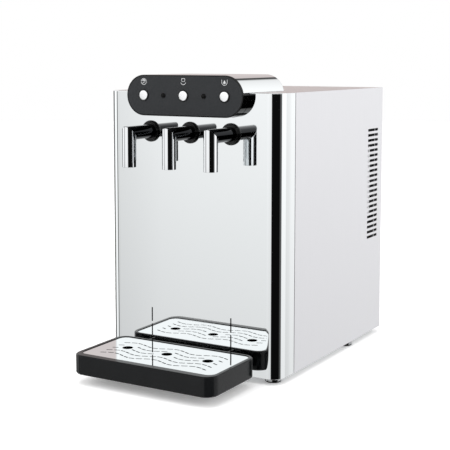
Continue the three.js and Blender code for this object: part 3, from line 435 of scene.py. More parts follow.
def runNodes(piece, group, values):
    step = piece.modifiers.new("nodes", "NODES")
    step.node_group = group
    for item in group.interface.items_tree:
        if item.in_out == "INPUT" and item.name in values:
            step[item.identifier] = values[item.name]
    piece.update_tag()
    bake(piece)


def arc(centre, radius, start, end, steps):
    # points from start to end degrees, both included
    turn = [math.radians(start + (end - start) * step / steps) for step in range(steps + 1)]
    return [(centre[0] + radius * math.cos(a), centre[1] + radius * math.sin(a)) for a in turn]


def roundedOutline(x0, x1, y0, y1, radius, steps=10):
    points = []
    for cx, cy, start in ((x1 - radius, y0 + radius, -90), (x1 - radius, y1 - radius, 0),
                          (x0 + radius, y1 - radius, 90), (x0 + radius, y0 + radius, 180)):
        points += arc((cx, cy), radius, start, start + 90, steps)
    return points


def stadiumOutline(half, radius, centre, steps=28):
    right = arc((half - radius, centre), radius, -90, 90, steps)
    return right + arc((radius - half, centre), radius, 90, 270, steps)


def joinRows(bm, rows, closed=True):
    # faces between neighbouring rows of vertices, three-cornered where a row is a single point
    for first, second in zip(rows, rows[1:]):
        for i in range(len(first) if closed else len(first) - 1):
            j = (i + 1) % len(first)
            corners = list(dict.fromkeys((first[i], first[j], second[j], second[i])))
            if len(corners) > 2:
                bm.faces.new(corners)


def loft(bm, rings, wrap=False):
    # rings of equal length joined in order; the end rings are filled, or joined to each other
    rows = [[bm.verts.new(point) for point in ring] for ring in rings]
    if wrap:
        joinRows(bm, rows + rows[:1])
        return
    joinRows(bm, rows)
    bm.faces.new(rows[0][::-1])
    bm.faces.new(rows[-1])


def standing(outline, low, high):
    return [[(x, y, level) for x, y in outline] for level in (low, high)]


def facing(outline, front, back):
    return [[(x, level, z) for x, z in outline] for level in (front, back)]


def circle(x, y, radius, steps=48):
    return arc((x, y), radius, 0, 360 - 360 / steps, steps - 1)


def lathe(bm, profile, axis, centre, segments=48):
    # profile of (radius, distance along the axis), from axis to axis or round to its own start
    def spot(radius, along, angle):
        a, b = radius * math.cos(angle), radius * math.sin(angle)
        x, y, z = centre
        return (x + a, y + along, z + b) if axis == "Y" else (x + a, y + b, z + along)

    rows = []
    for radius, along in profile:
        if radius < 1e-7:
            rows.append([bm.verts.new(spot(0, along, 0))] * segments)
        else:
            rows.append([bm.verts.new(spot(radius, along, 2 * math.pi * i / segments))
                         for i in range(segments)])
    if profile[0][0] > 1e-7:
        rows.append(rows[0])
    joinRows(bm, rows)


def lathePiece(name, profile, axis, centre, slot, body, replaced=(), segments=48, **more):
    bm = bmesh.new()
    lathe(bm, [(radius * mm, along * mm) for radius, along in profile], axis, centre, segments)
    return newPiece(name, bm, slot, body, replaced, **more)


def softened(profile, radius, steps=3):
    # rounds every corner of a profile except its two ends
    result = [tuple(profile[0])]
    for before, corner, after in zip(profile, profile[1:], profile[2:]):
        a, b, c = Vector(before), Vector(corner), Vector(after)
        reach = min(radius, (a - b).length * 0.48, (c - b).length * 0.48)
        start, end = b + (a - b).normalized() * reach, b + (c - b).normalized() * reach
        for step in range(steps + 1):
            t = step / steps
            result.append(tuple(start * (1 - t) ** 2 + b * 2 * t * (1 - t) + end * t ** 2))
    result.append(tuple(profile[-1]))
    return result


def softenEdges(bm, width):
    cleanMesh(bm)
    edges = [edge for edge in bm.edges if edge.is_manifold and edge.calc_face_angle(0) > math.radians(40)]
    bmesh.ops.bevel(bm, geom=edges, offset=width, offset_type="OFFSET", segments=2, profile=0.5,
                    affect="EDGES", clamp_overlap=True)


def addBox(bm, low, high):
    x0, y0, z0 = low
    x1, y1, z1 = high
    loft(bm, standing([(x0, y0), (x1, y0), (x1, y1), (x0, y1)], z0, z1))


# where things are, read from the frame
panelLow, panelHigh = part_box("front_panel")
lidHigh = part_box("top_panel")[1]
frontY = panelLow.y
bottomZ, topZ = panelLow.z, panelHigh.z
halfBody = panelHigh.x
plateLow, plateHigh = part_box("face_plate")
headCentre = (plateLow.z + plateHigh.z) / 2
headRadius = (plateHigh.z - plateLow.z) / 2
headHalf = plateHigh.x
outletNames = ("left", "middle", "right")


def middleOf(node):
    low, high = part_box(node)
    return (low + high) / 2


outletX = [middleOf(f"spout_tube_{name}").x for name in outletNames]
spoutZ = middleOf("spout_arm_middle").z
spoutY = middleOf("spout_tube_middle").y


def behind(distance):
    # millimetres behind the front panel's face
    return frontY + distance * mm


def startGroup(name, inputs):
    tree = bpy.data.node_groups.new(name, "GeometryNodeTree")
    tree.interface.new_socket(name="Geometry", in_out="OUTPUT", socket_type="NodeSocketGeometry")
    tree.interface.new_socket(name="Geometry", in_out="INPUT", socket_type="NodeSocketGeometry")
    for label, kind in inputs.items():
        tree.interface.new_socket(name=label, in_out="INPUT", socket_type="NodeSocket" + kind)
    return tree, addNode(tree, "NodeGroupInput").outputs


def endGroup(tree, geometry, material):
    solid = addNode(tree, "GeometryNodeRealizeInstances", {"Geometry": geometry})
    painted = addNode(tree, "GeometryNodeSetMaterial", {"Geometry": solid, "Material": material})
    addNode(tree, "NodeGroupOutput", {"Geometry": painted})


def endCutGroup(tree, given, cutters):
    cut = addNode(tree, "GeometryNodeMeshBoolean", {"Mesh 1": given["Geometry"], "Mesh 2": cutters},
                  operation="DIFFERENCE")
    endGroup(tree, cut, given["Finish"])
    return tree


def makeSlotRow():
    # cuts a straight row of equal slots through a sheet
    tree, given = startGroup("slot row", {"Count": "Int", "First": "Vector", "Step": "Vector",
                                          "Slot size": "Vector", "Finish": "Material"})
    line = addNode(tree, "GeometryNodeMeshLine", {"Count": given["Count"], "Start Location": given["First"],
                                                  "Offset": given["Step"]}, mode="OFFSET")
    punch = addNode(tree, "GeometryNodeMeshCube", {"Size": given["Slot size"]})
    spread = addNode(tree, "GeometryNodeInstanceOnPoints", {"Points": line,
                                                            "Instance": punch.outputs["Mesh"]})
    return endCutGroup(tree, given, spread)


def makeWaveSlots():
    # cuts rows of short slots that follow a cosine, leaving room round the drain holes
    tree, given = startGroup("wave slots", {
        "Punch": "Object", "Finish": "Material", "Per row": "Int", "Rows": "Int", "Row length": "Float",
        "Row spacing": "Float", "Middle": "Vector", "Wave length": "Float", "Wave height": "Float",
        "Hole place": "Float", "Hole room": "Float"})

    gaps = addNode(tree, "ShaderNodeMath", {0: given["Rows"], 1: 1.0}, operation="SUBTRACT")
    depth = addNode(tree, "ShaderNodeMath", {0: gaps, 1: given["Row spacing"]}, operation="MULTIPLY")
    grid = addNode(tree, "GeometryNodeMeshGrid", {
        "Size X": given["Row length"], "Size Y": depth, "Vertices X": given["Per row"],
        "Vertices Y": given["Rows"]})
    moved = addNode(tree, "GeometryNodeSetPosition", {"Geometry": grid.outputs["Mesh"],
                                                      "Offset": given["Middle"]})
    place = addNode(tree, "ShaderNodeSeparateXYZ", {0: addNode(tree, "GeometryNodeInputPosition")})
    waves = addNode(tree, "ShaderNodeMath", {0: place.outputs["X"], 1: given["Wave length"]},
                    operation="DIVIDE")
    phase = addNode(tree, "ShaderNodeMath", {0: waves, 1: 2 * math.pi}, operation="MULTIPLY")
    crest = addNode(tree, "ShaderNodeMath", {0: phase}, operation="COSINE")
    climb = addNode(tree, "ShaderNodeMath", {0: crest, 1: given["Wave height"]}, operation="MULTIPLY")
    rise = addNode(tree, "ShaderNodeCombineXYZ", {"Y": climb})
    waved = addNode(tree, "GeometryNodeSetPosition", {"Geometry": moved, "Offset": rise})
    # each slot turns with the slope of its row
    steep = addNode(tree, "ShaderNodeMath", {0: given["Wave height"], 1: given["Wave length"]},
                    operation="DIVIDE")
    fall = addNode(tree, "ShaderNodeMath", {0: phase}, operation="SINE")
    slope = addNode(tree, "ShaderNodeMath", {0: steep, 1: fall}, operation="MULTIPLY")
    grade = addNode(tree, "ShaderNodeMath", {0: slope, 1: -2 * math.pi}, operation="MULTIPLY")
    lean = addNode(tree, "ShaderNodeMath", {0: grade}, operation="ARCTANGENT")
    # how far each slot lies from the nearest drain hole, one hole to a wave
    nearest = addNode(tree, "ShaderNodeMath", {0: waves}, operation="ROUND")
    holeX = addNode(tree, "ShaderNodeMath", {0: nearest, 1: given["Wave length"]}, operation="MULTIPLY")
    hole = addNode(tree, "ShaderNodeCombineXYZ", {"X": holeX, "Y": given["Hole place"]})
    flat = addNode(tree, "ShaderNodeCombineXYZ", {"X": place.outputs["X"], "Y": place.outputs["Y"]})
    away = addNode(tree, "ShaderNodeVectorMath", {0: flat, 1: hole}, operation="DISTANCE")
    near = addNode(tree, "FunctionNodeCompare", {"A": away.outputs["Value"], "B": given["Hole room"]},
                   data_type="FLOAT", operation="LESS_THAN")
    kept = addNode(tree, "GeometryNodeDeleteGeometry", {"Geometry": waved, "Selection": near})
    angles = addNode(tree, "ShaderNodeCombineXYZ", {"Z": lean})
    turn = addNode(tree, "FunctionNodeEulerToRotation", {0: angles})
    punch = addNode(tree, "GeometryNodeObjectInfo", {"Object": given["Punch"]})
    spread = addNode(tree, "GeometryNodeInstanceOnPoints", {
        "Points": kept, "Instance": punch.outputs["Geometry"], "Rotation": turn})
    return endCutGroup(tree, given, spread)


def makeCopies():
    # puts one copy of an object on every point of the mesh it is given
    tree, given = startGroup("copies on points", {"Original": "Object", "Finish": "Material"})
    original = addNode(tree, "GeometryNodeObjectInfo", {"Object": given["Original"]})
    spread = addNode(tree, "GeometryNodeInstanceOnPoints", {"Points": given["Geometry"],
                                                            "Instance": original.outputs["Geometry"]})
    endGroup(tree, spread, given["Finish"])
    return tree


slotRow, waveSlots, copies = makeSlotRow(), makeWaveSlots(), makeCopies()


# casing: bent sheets of 1.5 and 0.8 mm; all sizes in millimetres, heights from the worktop
sheet = {"thick": 1.5, "side": 0.8, "corner": 22, "return": 49, "seam": 1.8, "topRound": 1.1, "bow": 3,
         "edge": 0.45, "flange": 14, "depth": 402, "spoutBore": 11.4, "headRoom": 0.3}
lid = {"inset": 2.5, "notchRoom": 0.3, "notchBack": 30.3}
vents = {"count": 22, "pitch": 9.13, "high": 4.7, "long": 44.5, "fromRear": 20.5, "fromBottom": 172.6}
hooks = {"width": 2.3, "lower": (33.4, 70.3), "upper": (74.3, 97.3)}
grille = {"count": 15, "pitch": 8.4, "high": 4, "long": 114, "x": 68, "z": 275}
bodyRear = panelLow.y + sheet["depth"] * mm


def cornerPath(half, front, radius, back, bow, steps=24):
    # plan of the front sheet's outer skin as (x, y, outward normal); the returns bow out by a few degrees
    turn = math.radians(bow)
    length = back - front - radius
    inset = math.tan(turn) * length / 2
    right = []
    for step in range(9):
        t = step / 8
        a = -turn * t
        right.append((half - inset * t * t, back - length * t, math.cos(a), math.sin(a)))
    right.pop()
    cx, cy = half - inset - radius * math.cos(turn), front + radius
    for step in range(steps + 1):
        a = -turn - (math.pi / 2 - turn) * step / steps
        right.append((cx + radius * math.cos(a), cy + radius * math.sin(a), math.cos(a), math.sin(a)))
    right.append((cx - 0.4 * mm, front, 0, -1))
    return right + [(-x, y, -nx, ny) for x, y, nx, ny in reversed(right)]


def buildFrontPanel():
    thick, edge, top = sheet["thick"] * mm, sheet["edge"] * mm, sheet["topRound"] * mm
    section = [(0, bottomZ + edge)]
    for step in range(6):
        a = math.pi / 2 * step / 5
        section.append((top - top * math.cos(a), topZ - top + top * math.sin(a)))
    section += [(thick, topZ), (thick, bottomZ), (edge, bottomZ)]
    bm = bmesh.new()
    rows = []
    for x, y, nx, ny in cornerPath(halfBody, frontY, sheet["corner"] * mm, behind(sheet["return"]),
                                   sheet["bow"]):
        rows.append([bm.verts.new((x - nx * inset, y - ny * inset, z)) for inset, z in section])
    joinRows(bm, rows)
    bm.faces.new(rows[0])
    bm.faces.new(rows[-1][::-1])
    panel = newObject("frontPanel", bm)
    holes = bmesh.new()
    reach = (behind(-6), behind(6))
    room = sheet["headRoom"] * mm
    loft(holes, facing(stadiumOutline(headHalf + room, headRadius + room, headCentre), *reach))
    for x in outletX:
        loft(holes, facing(circle(x, spoutZ, sheet["spoutBore"] * mm), *reach))
    for x in (outletX[0], outletX[2]):
        for low, high in (hooks["lower"], hooks["upper"]):
            half = hooks["width"] / 2 * mm
            addBox(holes, (x - half, reach[0], low * mm), (x + half, reach[1], high * mm))
    cutAway(panel, holes)
    settle(panel, "mirror_steel", "body", ["front_panel"])


def buildSidePanel(side, node):
    thick, flange = sheet["side"] * mm, sheet["flange"] * mm
    front = behind(sheet["return"] + sheet["seam"])
    outline = [(halfBody, front), (halfBody, bodyRear), (halfBody - flange, bodyRear),
               (halfBody - flange, bodyRear - thick), (halfBody - thick, bodyRear - thick),
               (halfBody - thick, front)]
    bm = bmesh.new()
    loft(bm, standing([(side * x, y) for x, y in outline], bottomZ, topZ))
    softenEdges(bm, 0.3 * mm)
    panel = newObject("leftSide" if side < 0 else "rightSide", bm)
    first = Vector((side * (halfBody - thick / 2), bodyRear - (vents["fromRear"] + vents["long"] / 2) * mm,
                    bottomZ + (vents["fromBottom"] + 2) * mm))
    runNodes(panel, slotRow, {
        "Count": vents["count"], "First": first, "Step": Vector((0, 0, vents["pitch"] * mm)),
        "Slot size": Vector((6 * mm, vents["long"] * mm, vents["high"] * mm)),
        "Finish": finishes["satin_steel"]})
    settle(panel, "satin_steel", "body", [node])


def buildLid():
    inset = lid["inset"] * mm
    half, radius, rear = halfBody - inset, sheet["corner"] * mm - inset, bodyRear - inset
    notch, notchBack, front = headHalf + lid["notchRoom"] * mm, behind(lid["notchBack"]), frontY + inset
    outline = [(half, rear), (-half, rear)]
    outline += arc((-half + radius, front + radius), radius, 180, 270, 16)
    outline += [(-notch, front), (-notch, notchBack), (notch, notchBack), (notch, front)]
    outline += arc((half - radius, front + radius), radius, -90, 0, 16)
    bm = bmesh.new()
    loft(bm, standing(outline, lidHigh.z - sheet["thick"] * mm, lidHigh.z))
    softenEdges(bm, sheet["edge"] * mm)
    # the lid takes the warmer copy of the satin steel; its warmth is painted reflection, not a different
    # steel
    newPiece("lid", bm, "satin_steel", "body", ["top_panel"], finish="satin_lid_warm_reflection")


# centres of the two fittings with the radii of their holes, and the opening for the switched mains inlet
inlets = {"water": (-112, 92, 13.5), "gas": (-68, 92, 4.8)}
socket = {"x": (-126.3, -72.7), "z": (360.7, 383.3)}
screws = {"x": (-138, 138), "z": (30, 160, 300, 430)}


def buildRearPanel():
    low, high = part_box("rear_panel")
    bm = bmesh.new()
    addBox(bm, low, high)
    softenEdges(bm, 0.3 * mm)
    panel = newObject("rearPanel", bm)
    holes = bmesh.new()
    reach = (bodyRear - 8 * mm, bodyRear + 6 * mm)
    for x, z, radius in inlets.values():
        loft(holes, facing(circle(x * mm, z * mm, radius * mm), *reach))
    (left, right), (low, high) = socket["x"], socket["z"]
    addBox(holes, (left * mm, reach[0], low * mm), (right * mm, reach[1], high * mm))
    cutAway(panel, holes)
    first = Vector((grille["x"] * mm, bodyRear - sheet["thick"] / 2 * mm,
                    (grille["z"] - (grille["count"] - 1) / 2 * grille["pitch"]) * mm))
    runNodes(panel, slotRow, {
        "Count": grille["count"], "First": first, "Step": Vector((0, 0, grille["pitch"] * mm)),
        "Slot size": Vector((grille["long"] * mm, 6 * mm, grille["high"] * mm)),
        "Finish": finishes["zinc_steel"]})
    settle(panel, "zinc_steel", "body", ["rear_panel"])


def buildRearScrews():
    # pan heads with a crossed recess, 7 mm across, round the rear sheet's edge
    bm = bmesh.new()
    profile = [(0, 2.2), (1.6, 2.1), (2.8, 1.5), (3.5, 0.5), (3.5, 0), (0, 0)]
    lathe(bm, [(radius * mm, along * mm) for radius, along in softened(profile, 0.5, 2)], "Y", (0, 0, 0), 24)
    head = newObject("screwHead", bm)
    cross = bmesh.new()
    for wide, high in ((2.0, 0.45), (0.45, 2.0)):
        addBox(cross, (-wide * mm, 1.2 * mm, -high * mm), (wide * mm, 4 * mm, high * mm))
    cutAway(head, cross)
    points = bmesh.new()
    for z in screws["z"]:
        for x in screws["x"]:
            points.verts.new((x * mm, bodyRear, z * mm))
    row = newObject("rearScrews", points)
    runNodes(row, copies, {"Original": head, "Finish": finishes["stainless"]})
    bpy.data.objects.remove(head)
    settle(row, "stainless", "body")


# profiles of the spun cup with its stud, and of the pad pressed into it, as (radius, height)
foot = {"cup": [(0, 3.3), (11.3, 3.3), (11.3, 1.8), (13, 1.8), (13, 8.7), (4, 8.7), (4, 18), (0, 18)],
        "pad": [(0, 0), (12.4, 0), (12.7, 0.4), (12.7, 1.5), (11, 1.5), (11, 3), (0, 3)]}


def buildFeet():
    for end in ("front", "rear"):
        for side in ("left", "right"):
            place = middleOf(f"foot_{end}_{side}")
            centre = (place.x, place.y, 0)
            name = end + side.capitalize()
            lathePiece(name + "Foot", softened(foot["cup"], 0.6), "Z", centre, "chrome", "body",
                       [f"foot_{end}_{side}"], finish="bright_nickel")
            lathePiece(name + "Pad", softened(foot["pad"], 0.3), "Z", centre, "rubber", "body",
                       [f"foot_pad_{end}_{side}"])


buildFrontPanel()
buildSidePanel(-1, "left_side_panel")
buildSidePanel(1, "right_side_panel")
buildLid()
buildRearPanel()
buildRearScrews()
buildFeet()
print("casing built")


# head: distances are behind the front panel, so those in front of it are negative
head = {"wall": 2.5, "hoodWall": 1.5, "front": -17.7, "housingBack": 30, "hoodBack": 117, "rim": 1.9,
        "hoodRound": 3.0, "plateBack": -18, "plateFront": -20.2, "housingRound": 1.5, "housingTop": 449.7,
        "hoodFoot": 450.3}


def openStadium(inset, level, upper, steps=30):
    # the part of the head's outline above or below a level, from left to right
    half, radius = headHalf - inset, headRadius - inset
    start = math.degrees(math.asin((level - headCentre) / radius))
    side = half - radius
    leftEnd, rightStart = (90, 90) if upper else (270, -90)
    left = arc((-side, headCentre), radius, 180 - start, leftEnd, steps)
    return left + arc((side, headCentre), radius, rightStart, start, steps)


def buildShell(name, level, upper, back, wall, rounded, slot, node):
    # a trough with a closed rear end, its rear edge rounded
    front, backY = behind(head["front"]), behind(back)
    stations = [(front, 0)]
    for step in range(6):
        a = math.pi / 2 * step / 5
        stations.append((backY - rounded + rounded * math.sin(a), rounded * (1 - math.cos(a))))
    bm = bmesh.new()

    def row(inset, y):
        return [bm.verts.new((x, y, z)) for x, z in openStadium(inset, level, upper)]

    outer = [row(inset, y) for y, inset in stations]
    inner = [row(wall, y) for y in (front, backY - wall)]
    for rows in (outer, inner):
        joinRows(bm, rows, closed=False)
        bm.faces.new(rows[-1])
    joinRows(bm, [outer[0], inner[0]], closed=False)
    for end in (0, -1):
        bm.faces.new([line[end] for line in outer] + [inner[1][end], inner[0][end]])
    bm.faces.new((outer[-1][0], outer[-1][-1], inner[1][-1], inner[1][0]))
    newPiece(name, bm, slot, "body", [node])


def buildFacePlate():
    rim = head["rim"] * mm
    front, back = behind(head["plateFront"]), behind(head["plateBack"])

    def ring(y, inset):
        return [(x, y, z) for x, z in stadiumOutline(headHalf - inset, headRadius - inset, headCentre)]

    bm = bmesh.new()
    loft(bm, [ring(back, rim), ring(front + 0.35 * mm, rim), ring(front + 0.2 * mm, rim + 0.25 * mm)])
    plate = newObject("facePlate", bm)
    holes = bmesh.new()
    reach = (behind(-26), behind(-10))
    for x in outletX:
        loft(holes, facing(circle(x, headCentre, button["hole"] * mm), *reach))
    for x in (outletX[0] / 2, outletX[2] / 2):
        loft(holes, facing(circle(x, headCentre, lamp["hole"] * mm, 24), *reach))
    cutAway(plate, holes)
    settle(plate, "face_plastic", "body", ["face_plate"])
    edge = 0.8 * mm
    bm = bmesh.new()
    loft(bm, [ring(back, 0), ring(front + edge, 0), ring(front + edge * 0.3, edge * 0.3), ring(front, edge),
              ring(front, rim - 0.35 * mm), ring(front + 0.3 * mm, rim), ring(back, rim)], wrap=True)
    newPiece("facePlateRim", bm, "black_gloss", "body")


# profiles as (radius, distance behind the plate's face)
button = {"hole": 8.75,
          "ring": [(7.95, -1.1), (8.8, -1.1), (9.15, -0.7), (9.15, 0.25), (8.45, 0.25), (8.45, 8), (7.95, 8),
                   (7.95, -0.9)],
          "cap": [(0, -1.75), (3, -1.73), (5, -1.67), (6.5, -1.57), (7.05, -1.48), (7.4, -1.3), (7.6, -1.05),
                  (7.65, -0.75), (7.65, 6), (3, 6), (3, 9.5), (0, 9.5)]}
lamp = {"hole": 2.8,
        "bezel": [(2.95, -0.7), (3.2, -1.1), (3.6, -1.1), (3.95, -0.7), (3.95, 0.3), (2.95, 0.3),
                  (2.95, -0.5)],
        "dome": [(0, -1.5), (0.8, -1.45), (1.6, -1.28), (2.3, -0.98), (2.75, -0.6), (2.9, -0.3),
                 (2.5, 0.2), (2.5, 5), (0, 5)]}


def buildButtons():
    for x, name in zip(outletX, outletNames):
        centre = (x, behind(head["plateFront"]), headCentre)
        lathePiece(name + "ButtonRing", softened(button["ring"], 0.2), "Y", centre, "black_gloss", "body",
                   [f"button_ring_{name}"])
        lathePiece(name + "Button", button["cap"], "Y", centre, "chrome", f"button_{name}",
                   [f"button_{name}"], finish="satin_chrome")
    for x, name in ((outletX[0] / 2, "left"), (outletX[2] / 2, "right")):
        centre = (x, behind(head["plateFront"]), headCentre)
        lathePiece(name + "Indicator", lamp["dome"], "Y", centre, "black_gloss", "body",
                   [f"indicator_{name}"], segments=32, finish="lens")
        lathePiece(name + "IndicatorBezel", softened(lamp["bezel"], 0.15), "Y", centre, "black_gloss",
                   "body", segments=32)


# the marks' height above the head's middle, and how far the ink stands out of the plate and sinks in
marks = {"height": 21.5, "ink": 0.05, "sunk": 0.02}


def addPrint(bm, outline, x, z):
    # one closed printed shape, its outline in millimetres
    front = behind(head["plateFront"]) + 0.2 * mm
    loft(bm, facing([(x + a * mm, z + b * mm) for a, b in outline], front - marks["ink"] * mm,
                    front + marks["sunk"] * mm))


def addBand(bm, radius, width, start, end, x, z):
    outer = arc((0, 0), radius, start, end, 32)
    addPrint(bm, outer + arc((0, 0), radius - width, end, start, 32), x, z)


def buildSymbols():
    # plain function marks above the buttons: half-filled ring, glass over a bowl, shield with a drop
    level = headCentre + marks["height"] * mm
    bm = bmesh.new()
    left, middle, right = outletX
    addBand(bm, 5.2, 0.7, -175, 175, left, level)
    addPrint(bm, arc((0, 0), 3.6, 20, 160, 16), left, level)
    addPrint(bm, [(-3.6, -3.2), (-3.0, -3.7), (3.4, 1.0), (2.9, 1.6)], left, level - 0.2 * mm)
    bars = [(middle, -2.6, 2.6, 0.4, 1.0), (middle, -3.2, -2.5, 1.0, 4.9), (middle, 2.5, 3.2, 1.0, 4.9),
            (middle, -3.2, 3.2, 4.9, 5.6), (right, -5.2, -4.5, -0.2, 4.6), (right, 4.5, 5.2, -0.2, 4.6)]
    for x, x0, x1, z0, z1 in bars:
        addPrint(bm, [(x0, z0), (x1, z0), (x1, z1), (x0, z1)], x, level)
    addBand(bm, 5.0, 0.8, 195, 345, middle, level + 0.5 * mm)
    addBand(bm, 5.2, 0.7, 190, 350, right, level + 0.6 * mm)
    addPrint(bm, [(0, 3.6), *arc((0, -0.4), 2.0, 35, -215, 20)], right, level)
    newPiece("symbols", bm, "face_plastic", "body", finish="ink")


buildShell("headHousing", head["housingTop"] * mm, False, head["housingBack"], head["wall"] * mm,
           head["housingRound"] * mm, "black_gloss", "head_housing")
buildShell("hood", head["hoodFoot"] * mm, True, head["hoodBack"], head["hoodWall"] * mm,
           head["hoodRound"] * mm, "mirror_steel", "hood_cover")
buildFacePlate()
buildButtons()
buildSymbols()
print("head built")


# three ribs on each collar, profile as (radius, distance behind the panel's face)
collar = [(11.4, -0.3), (11.4, -5.5), (13.9, -5.5), (14.3, -4.9), (15.7, -4.9), (15.9, -4.3), (15.0, -3.9),
          (15.0, -3.4), (16.3, -3.3), (16.5, -2.7), (15.7, -2.3), (15.7, -1.9), (17.1, -1.8), (17.25, -1.4),
          (17.25, -0.3), (11.6, -0.3)]
spout = {"radius": 11, "wall": 1.5, "mouth": 333, "tail": 25.5, "seam": 0.22, "lip": 0.35}


def buildSpout(x, name):
    radius, bore = spout["radius"] * mm, (spout["radius"] - spout["wall"]) * mm
    lip, seam = spout["lip"] * mm, spout["seam"] * mm
    mouth = spout["mouth"] * mm

    def tubeRing(r, level=None, back=0.0):
        return [(x + a, spoutY + b, (spoutZ - b - seam - back) if level is None else level)
                for a, b in circle(0, 0, r, 64)]

    def armRing(r, level=None, back=0.0):
        return [(x + a, (spoutY - b + seam + back) if level is None else level, spoutZ + b)
                for a, b in circle(0, 0, r, 64)]

    bm = bmesh.new()
    loft(bm, [tubeRing(bore), tubeRing(bore, mouth + lip), tubeRing(bore + lip, mouth),
              tubeRing(radius - lip, mouth), tubeRing(radius, mouth + lip), tubeRing(radius, mouth + 10 * mm),
              tubeRing(radius, back=1.4 * lip), tubeRing(radius - lip)], wrap=True)
    newPiece(name + "SpoutTube", bm, "chrome", "body", [f"spout_tube_{name}"], sharpDegrees=50)
    bm = bmesh.new()
    tail = behind(spout["tail"])
    loft(bm, [armRing(bore, tail - 3 * mm), armRing(bore), armRing(radius - lip),
              armRing(radius, back=1.4 * lip), armRing(radius, behind(-12)), armRing(radius, tail)])
    newPiece(name + "SpoutArm", bm, "chrome", "body", [f"spout_arm_{name}"], sharpDegrees=50,
             finish="black_chrome")
    lathePiece(name + "Collar", softened(collar, 0.16), "Y", (x, frontY, spoutZ), "black_gloss", "body",
               [f"collar_{name}"], segments=64)


for x, name in zip(outletX, outletNames):
    buildSpout(x, name)
print("spouts built")


# the rim and the lip inside it as (inset, drop from the top), the basin's floor as (inset, rise)
tray = {"corner": 20, "grid": {"side": 7, "front": 13, "rear": 5}, "seat": 44.2, "ledge": 4, "wall": 2.5,
        "round": 3, "lip": [(-0.35, 0), (-0.1, 0.1), (0, 0.4)], "floor": [(0, 3), (0.9, 0.9), (3, 0)],
        "rim": [(0, 1.7), (0.15, 1.35), (0.5, 1.2), (1.2, 1.15), (1.25, 0.55), (1.45, 0.15), (1.85, 0)]}
plate = {"corner": 12.7, "edge": 0.3, "holeRadius": 8.5, "holePlace": -69.5, "rows": 5, "perRow": 17,
         "rowLength": 184, "rowSpacing": 16.1, "firstRow": -45.8, "waveLength": 74.2, "waveHeight": 5.4,
         "slotLong": 10.2, "slotWide": 2.6, "holeRoom": 14.2}
trayLow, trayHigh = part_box("drip_tray")
gridLow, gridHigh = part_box("tray_grid")


def buildTray():
    sides = [tray["grid"][key] * mm for key in ("side", "front", "rear")]
    bottom, top, seat, ledge = trayLow.z, trayHigh.z, tray["seat"] * mm, tray["ledge"] * mm
    corner = (tray["corner"] - tray["grid"]["side"]) * mm
    rounded = tray["round"] * mm

    def ring(inset, level, inside=(0, 0, 0), radius=None):
        x = trayHigh.x - inset - inside[0]
        outline = roundedOutline(-x, x, trayLow.y + inset + inside[1], trayHigh.y - inset - inside[2],
                                 (tray["corner"] * mm - inset) if radius is None else radius, 14)
        return [(a, b, level) for a, b in outline]

    rings = []
    for step in range(5):
        a = math.pi / 2 * step / 4
        rings.append(ring(rounded * (1 - math.sin(a)), bottom + rounded * (1 - math.cos(a))))
    rings += [ring(inset * mm, top - drop * mm) for inset, drop in tray["rim"]]
    rings += [ring(inset * mm, top - drop * mm, sides, corner) for inset, drop in tray["lip"]]
    rings += [ring(0, seat, sides, corner), ring(ledge, seat, sides, corner - ledge)]
    rings += [ring(ledge + inset * mm, bottom + (tray["wall"] + rise) * mm, sides, corner - ledge)
              for inset, rise in tray["floor"]]
    bm = bmesh.new()
    loft(bm, rings)
    newPiece("dripTray", bm, "tray_plastic", "tray", ["drip_tray"], sharpDegrees=50)


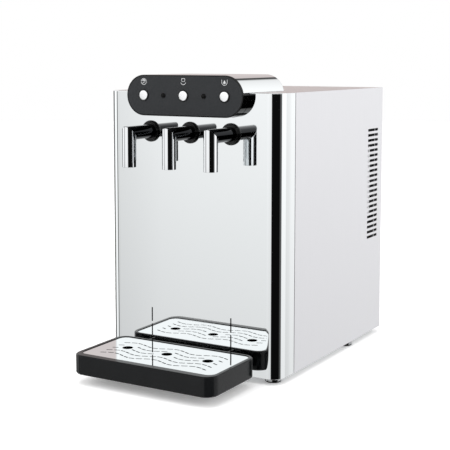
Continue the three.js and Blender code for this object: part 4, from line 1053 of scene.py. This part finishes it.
def buildTrayGrid():
    edge = plate["edge"] * mm
    bm = bmesh.new()

    def ring(inset, level):
        outline = roundedOutline(gridLow.x + inset, gridHigh.x - inset, gridLow.y + inset, gridHigh.y - inset,
                                 plate["corner"] * mm - inset, 14)
        return [(a, b, level) for a, b in outline]

    loft(bm, [ring(edge, gridLow.z), ring(0, gridLow.z + edge), ring(0, gridHigh.z - edge),
              ring(edge * 0.3, gridHigh.z - edge * 0.3), ring(edge, gridHigh.z)])
    grid = newObject("trayGrid", bm)
    holes = bmesh.new()
    for x in outletX:
        loft(holes, standing(circle(x, behind(plate["holePlace"]), plate["holeRadius"] * mm),
                             gridLow.z - 5 * mm, gridHigh.z + 5 * mm))
    cutAway(grid, holes)
    punchMesh = bmesh.new()
    half, radius = plate["slotLong"] / 2 * mm, plate["slotWide"] / 2 * mm
    loft(punchMesh, standing(stadiumOutline(half, radius, 0, 6), -3 * mm, 3 * mm))
    punch = newObject("slotPunch", punchMesh)
    middleRow = plate["firstRow"] - (plate["rows"] - 1) / 2 * plate["rowSpacing"]
    runNodes(grid, waveSlots, {
        "Punch": punch, "Finish": finishes["mirror_steel"], "Per row": plate["perRow"], "Rows": plate["rows"],
        "Row length": plate["rowLength"] * mm, "Row spacing": plate["rowSpacing"] * mm,
        "Middle": Vector((0, behind(middleRow), gridHigh.z)), "Wave length": plate["waveLength"] * mm,
        "Wave height": plate["waveHeight"] * mm, "Hole place": behind(plate["holePlace"]),
        "Hole room": plate["holeRoom"] * mm})
    bpy.data.objects.remove(punch)
    settle(grid, "mirror_steel", "grid", ["tray_grid"])


buildTray()
buildTrayGrid()
print("tray built")


fitting = {
    "nut": 4, "pitch": 2.6,
    "barb": [(1.8, -14), (4.5, -14), (4.5, 0.3), (8.5, 0.3), (8.5, 4), (3.5, 4), (4.5, 6), (3.5, 9.5),
             (4.5, 10.5), (3.5, 14), (1.8, 14), (1.8, -12)],
}


def buildFittings():
    nut, pitch = fitting["nut"], fitting["pitch"]
    thread = [(6.5, -20), (12.2, -20), (12.2, 0.3), (17.2, 0.3), (17.2, nut)]
    for turn in range(3):
        thread += [(12.2, nut + turn * pitch), (13.2, nut + (turn + 0.5) * pitch)]
    thread += [(12.2, nut + 3 * pitch), (12.2, 14), (6.5, 14), (6.5, -18)]
    for name, profile, segments in (("water", softened(thread, 0.35), 64),
                                    ("gas", softened(fitting["barb"], 0.3), 48)):
        x, z = inlets[name][:2]
        lathePiece(name + "Inlet", profile, "Y", (x * mm, bodyRear, z * mm), "brass", "body",
                   [f"{name}_inlet"], segments=segments)


buildFittings()
print("fittings built")
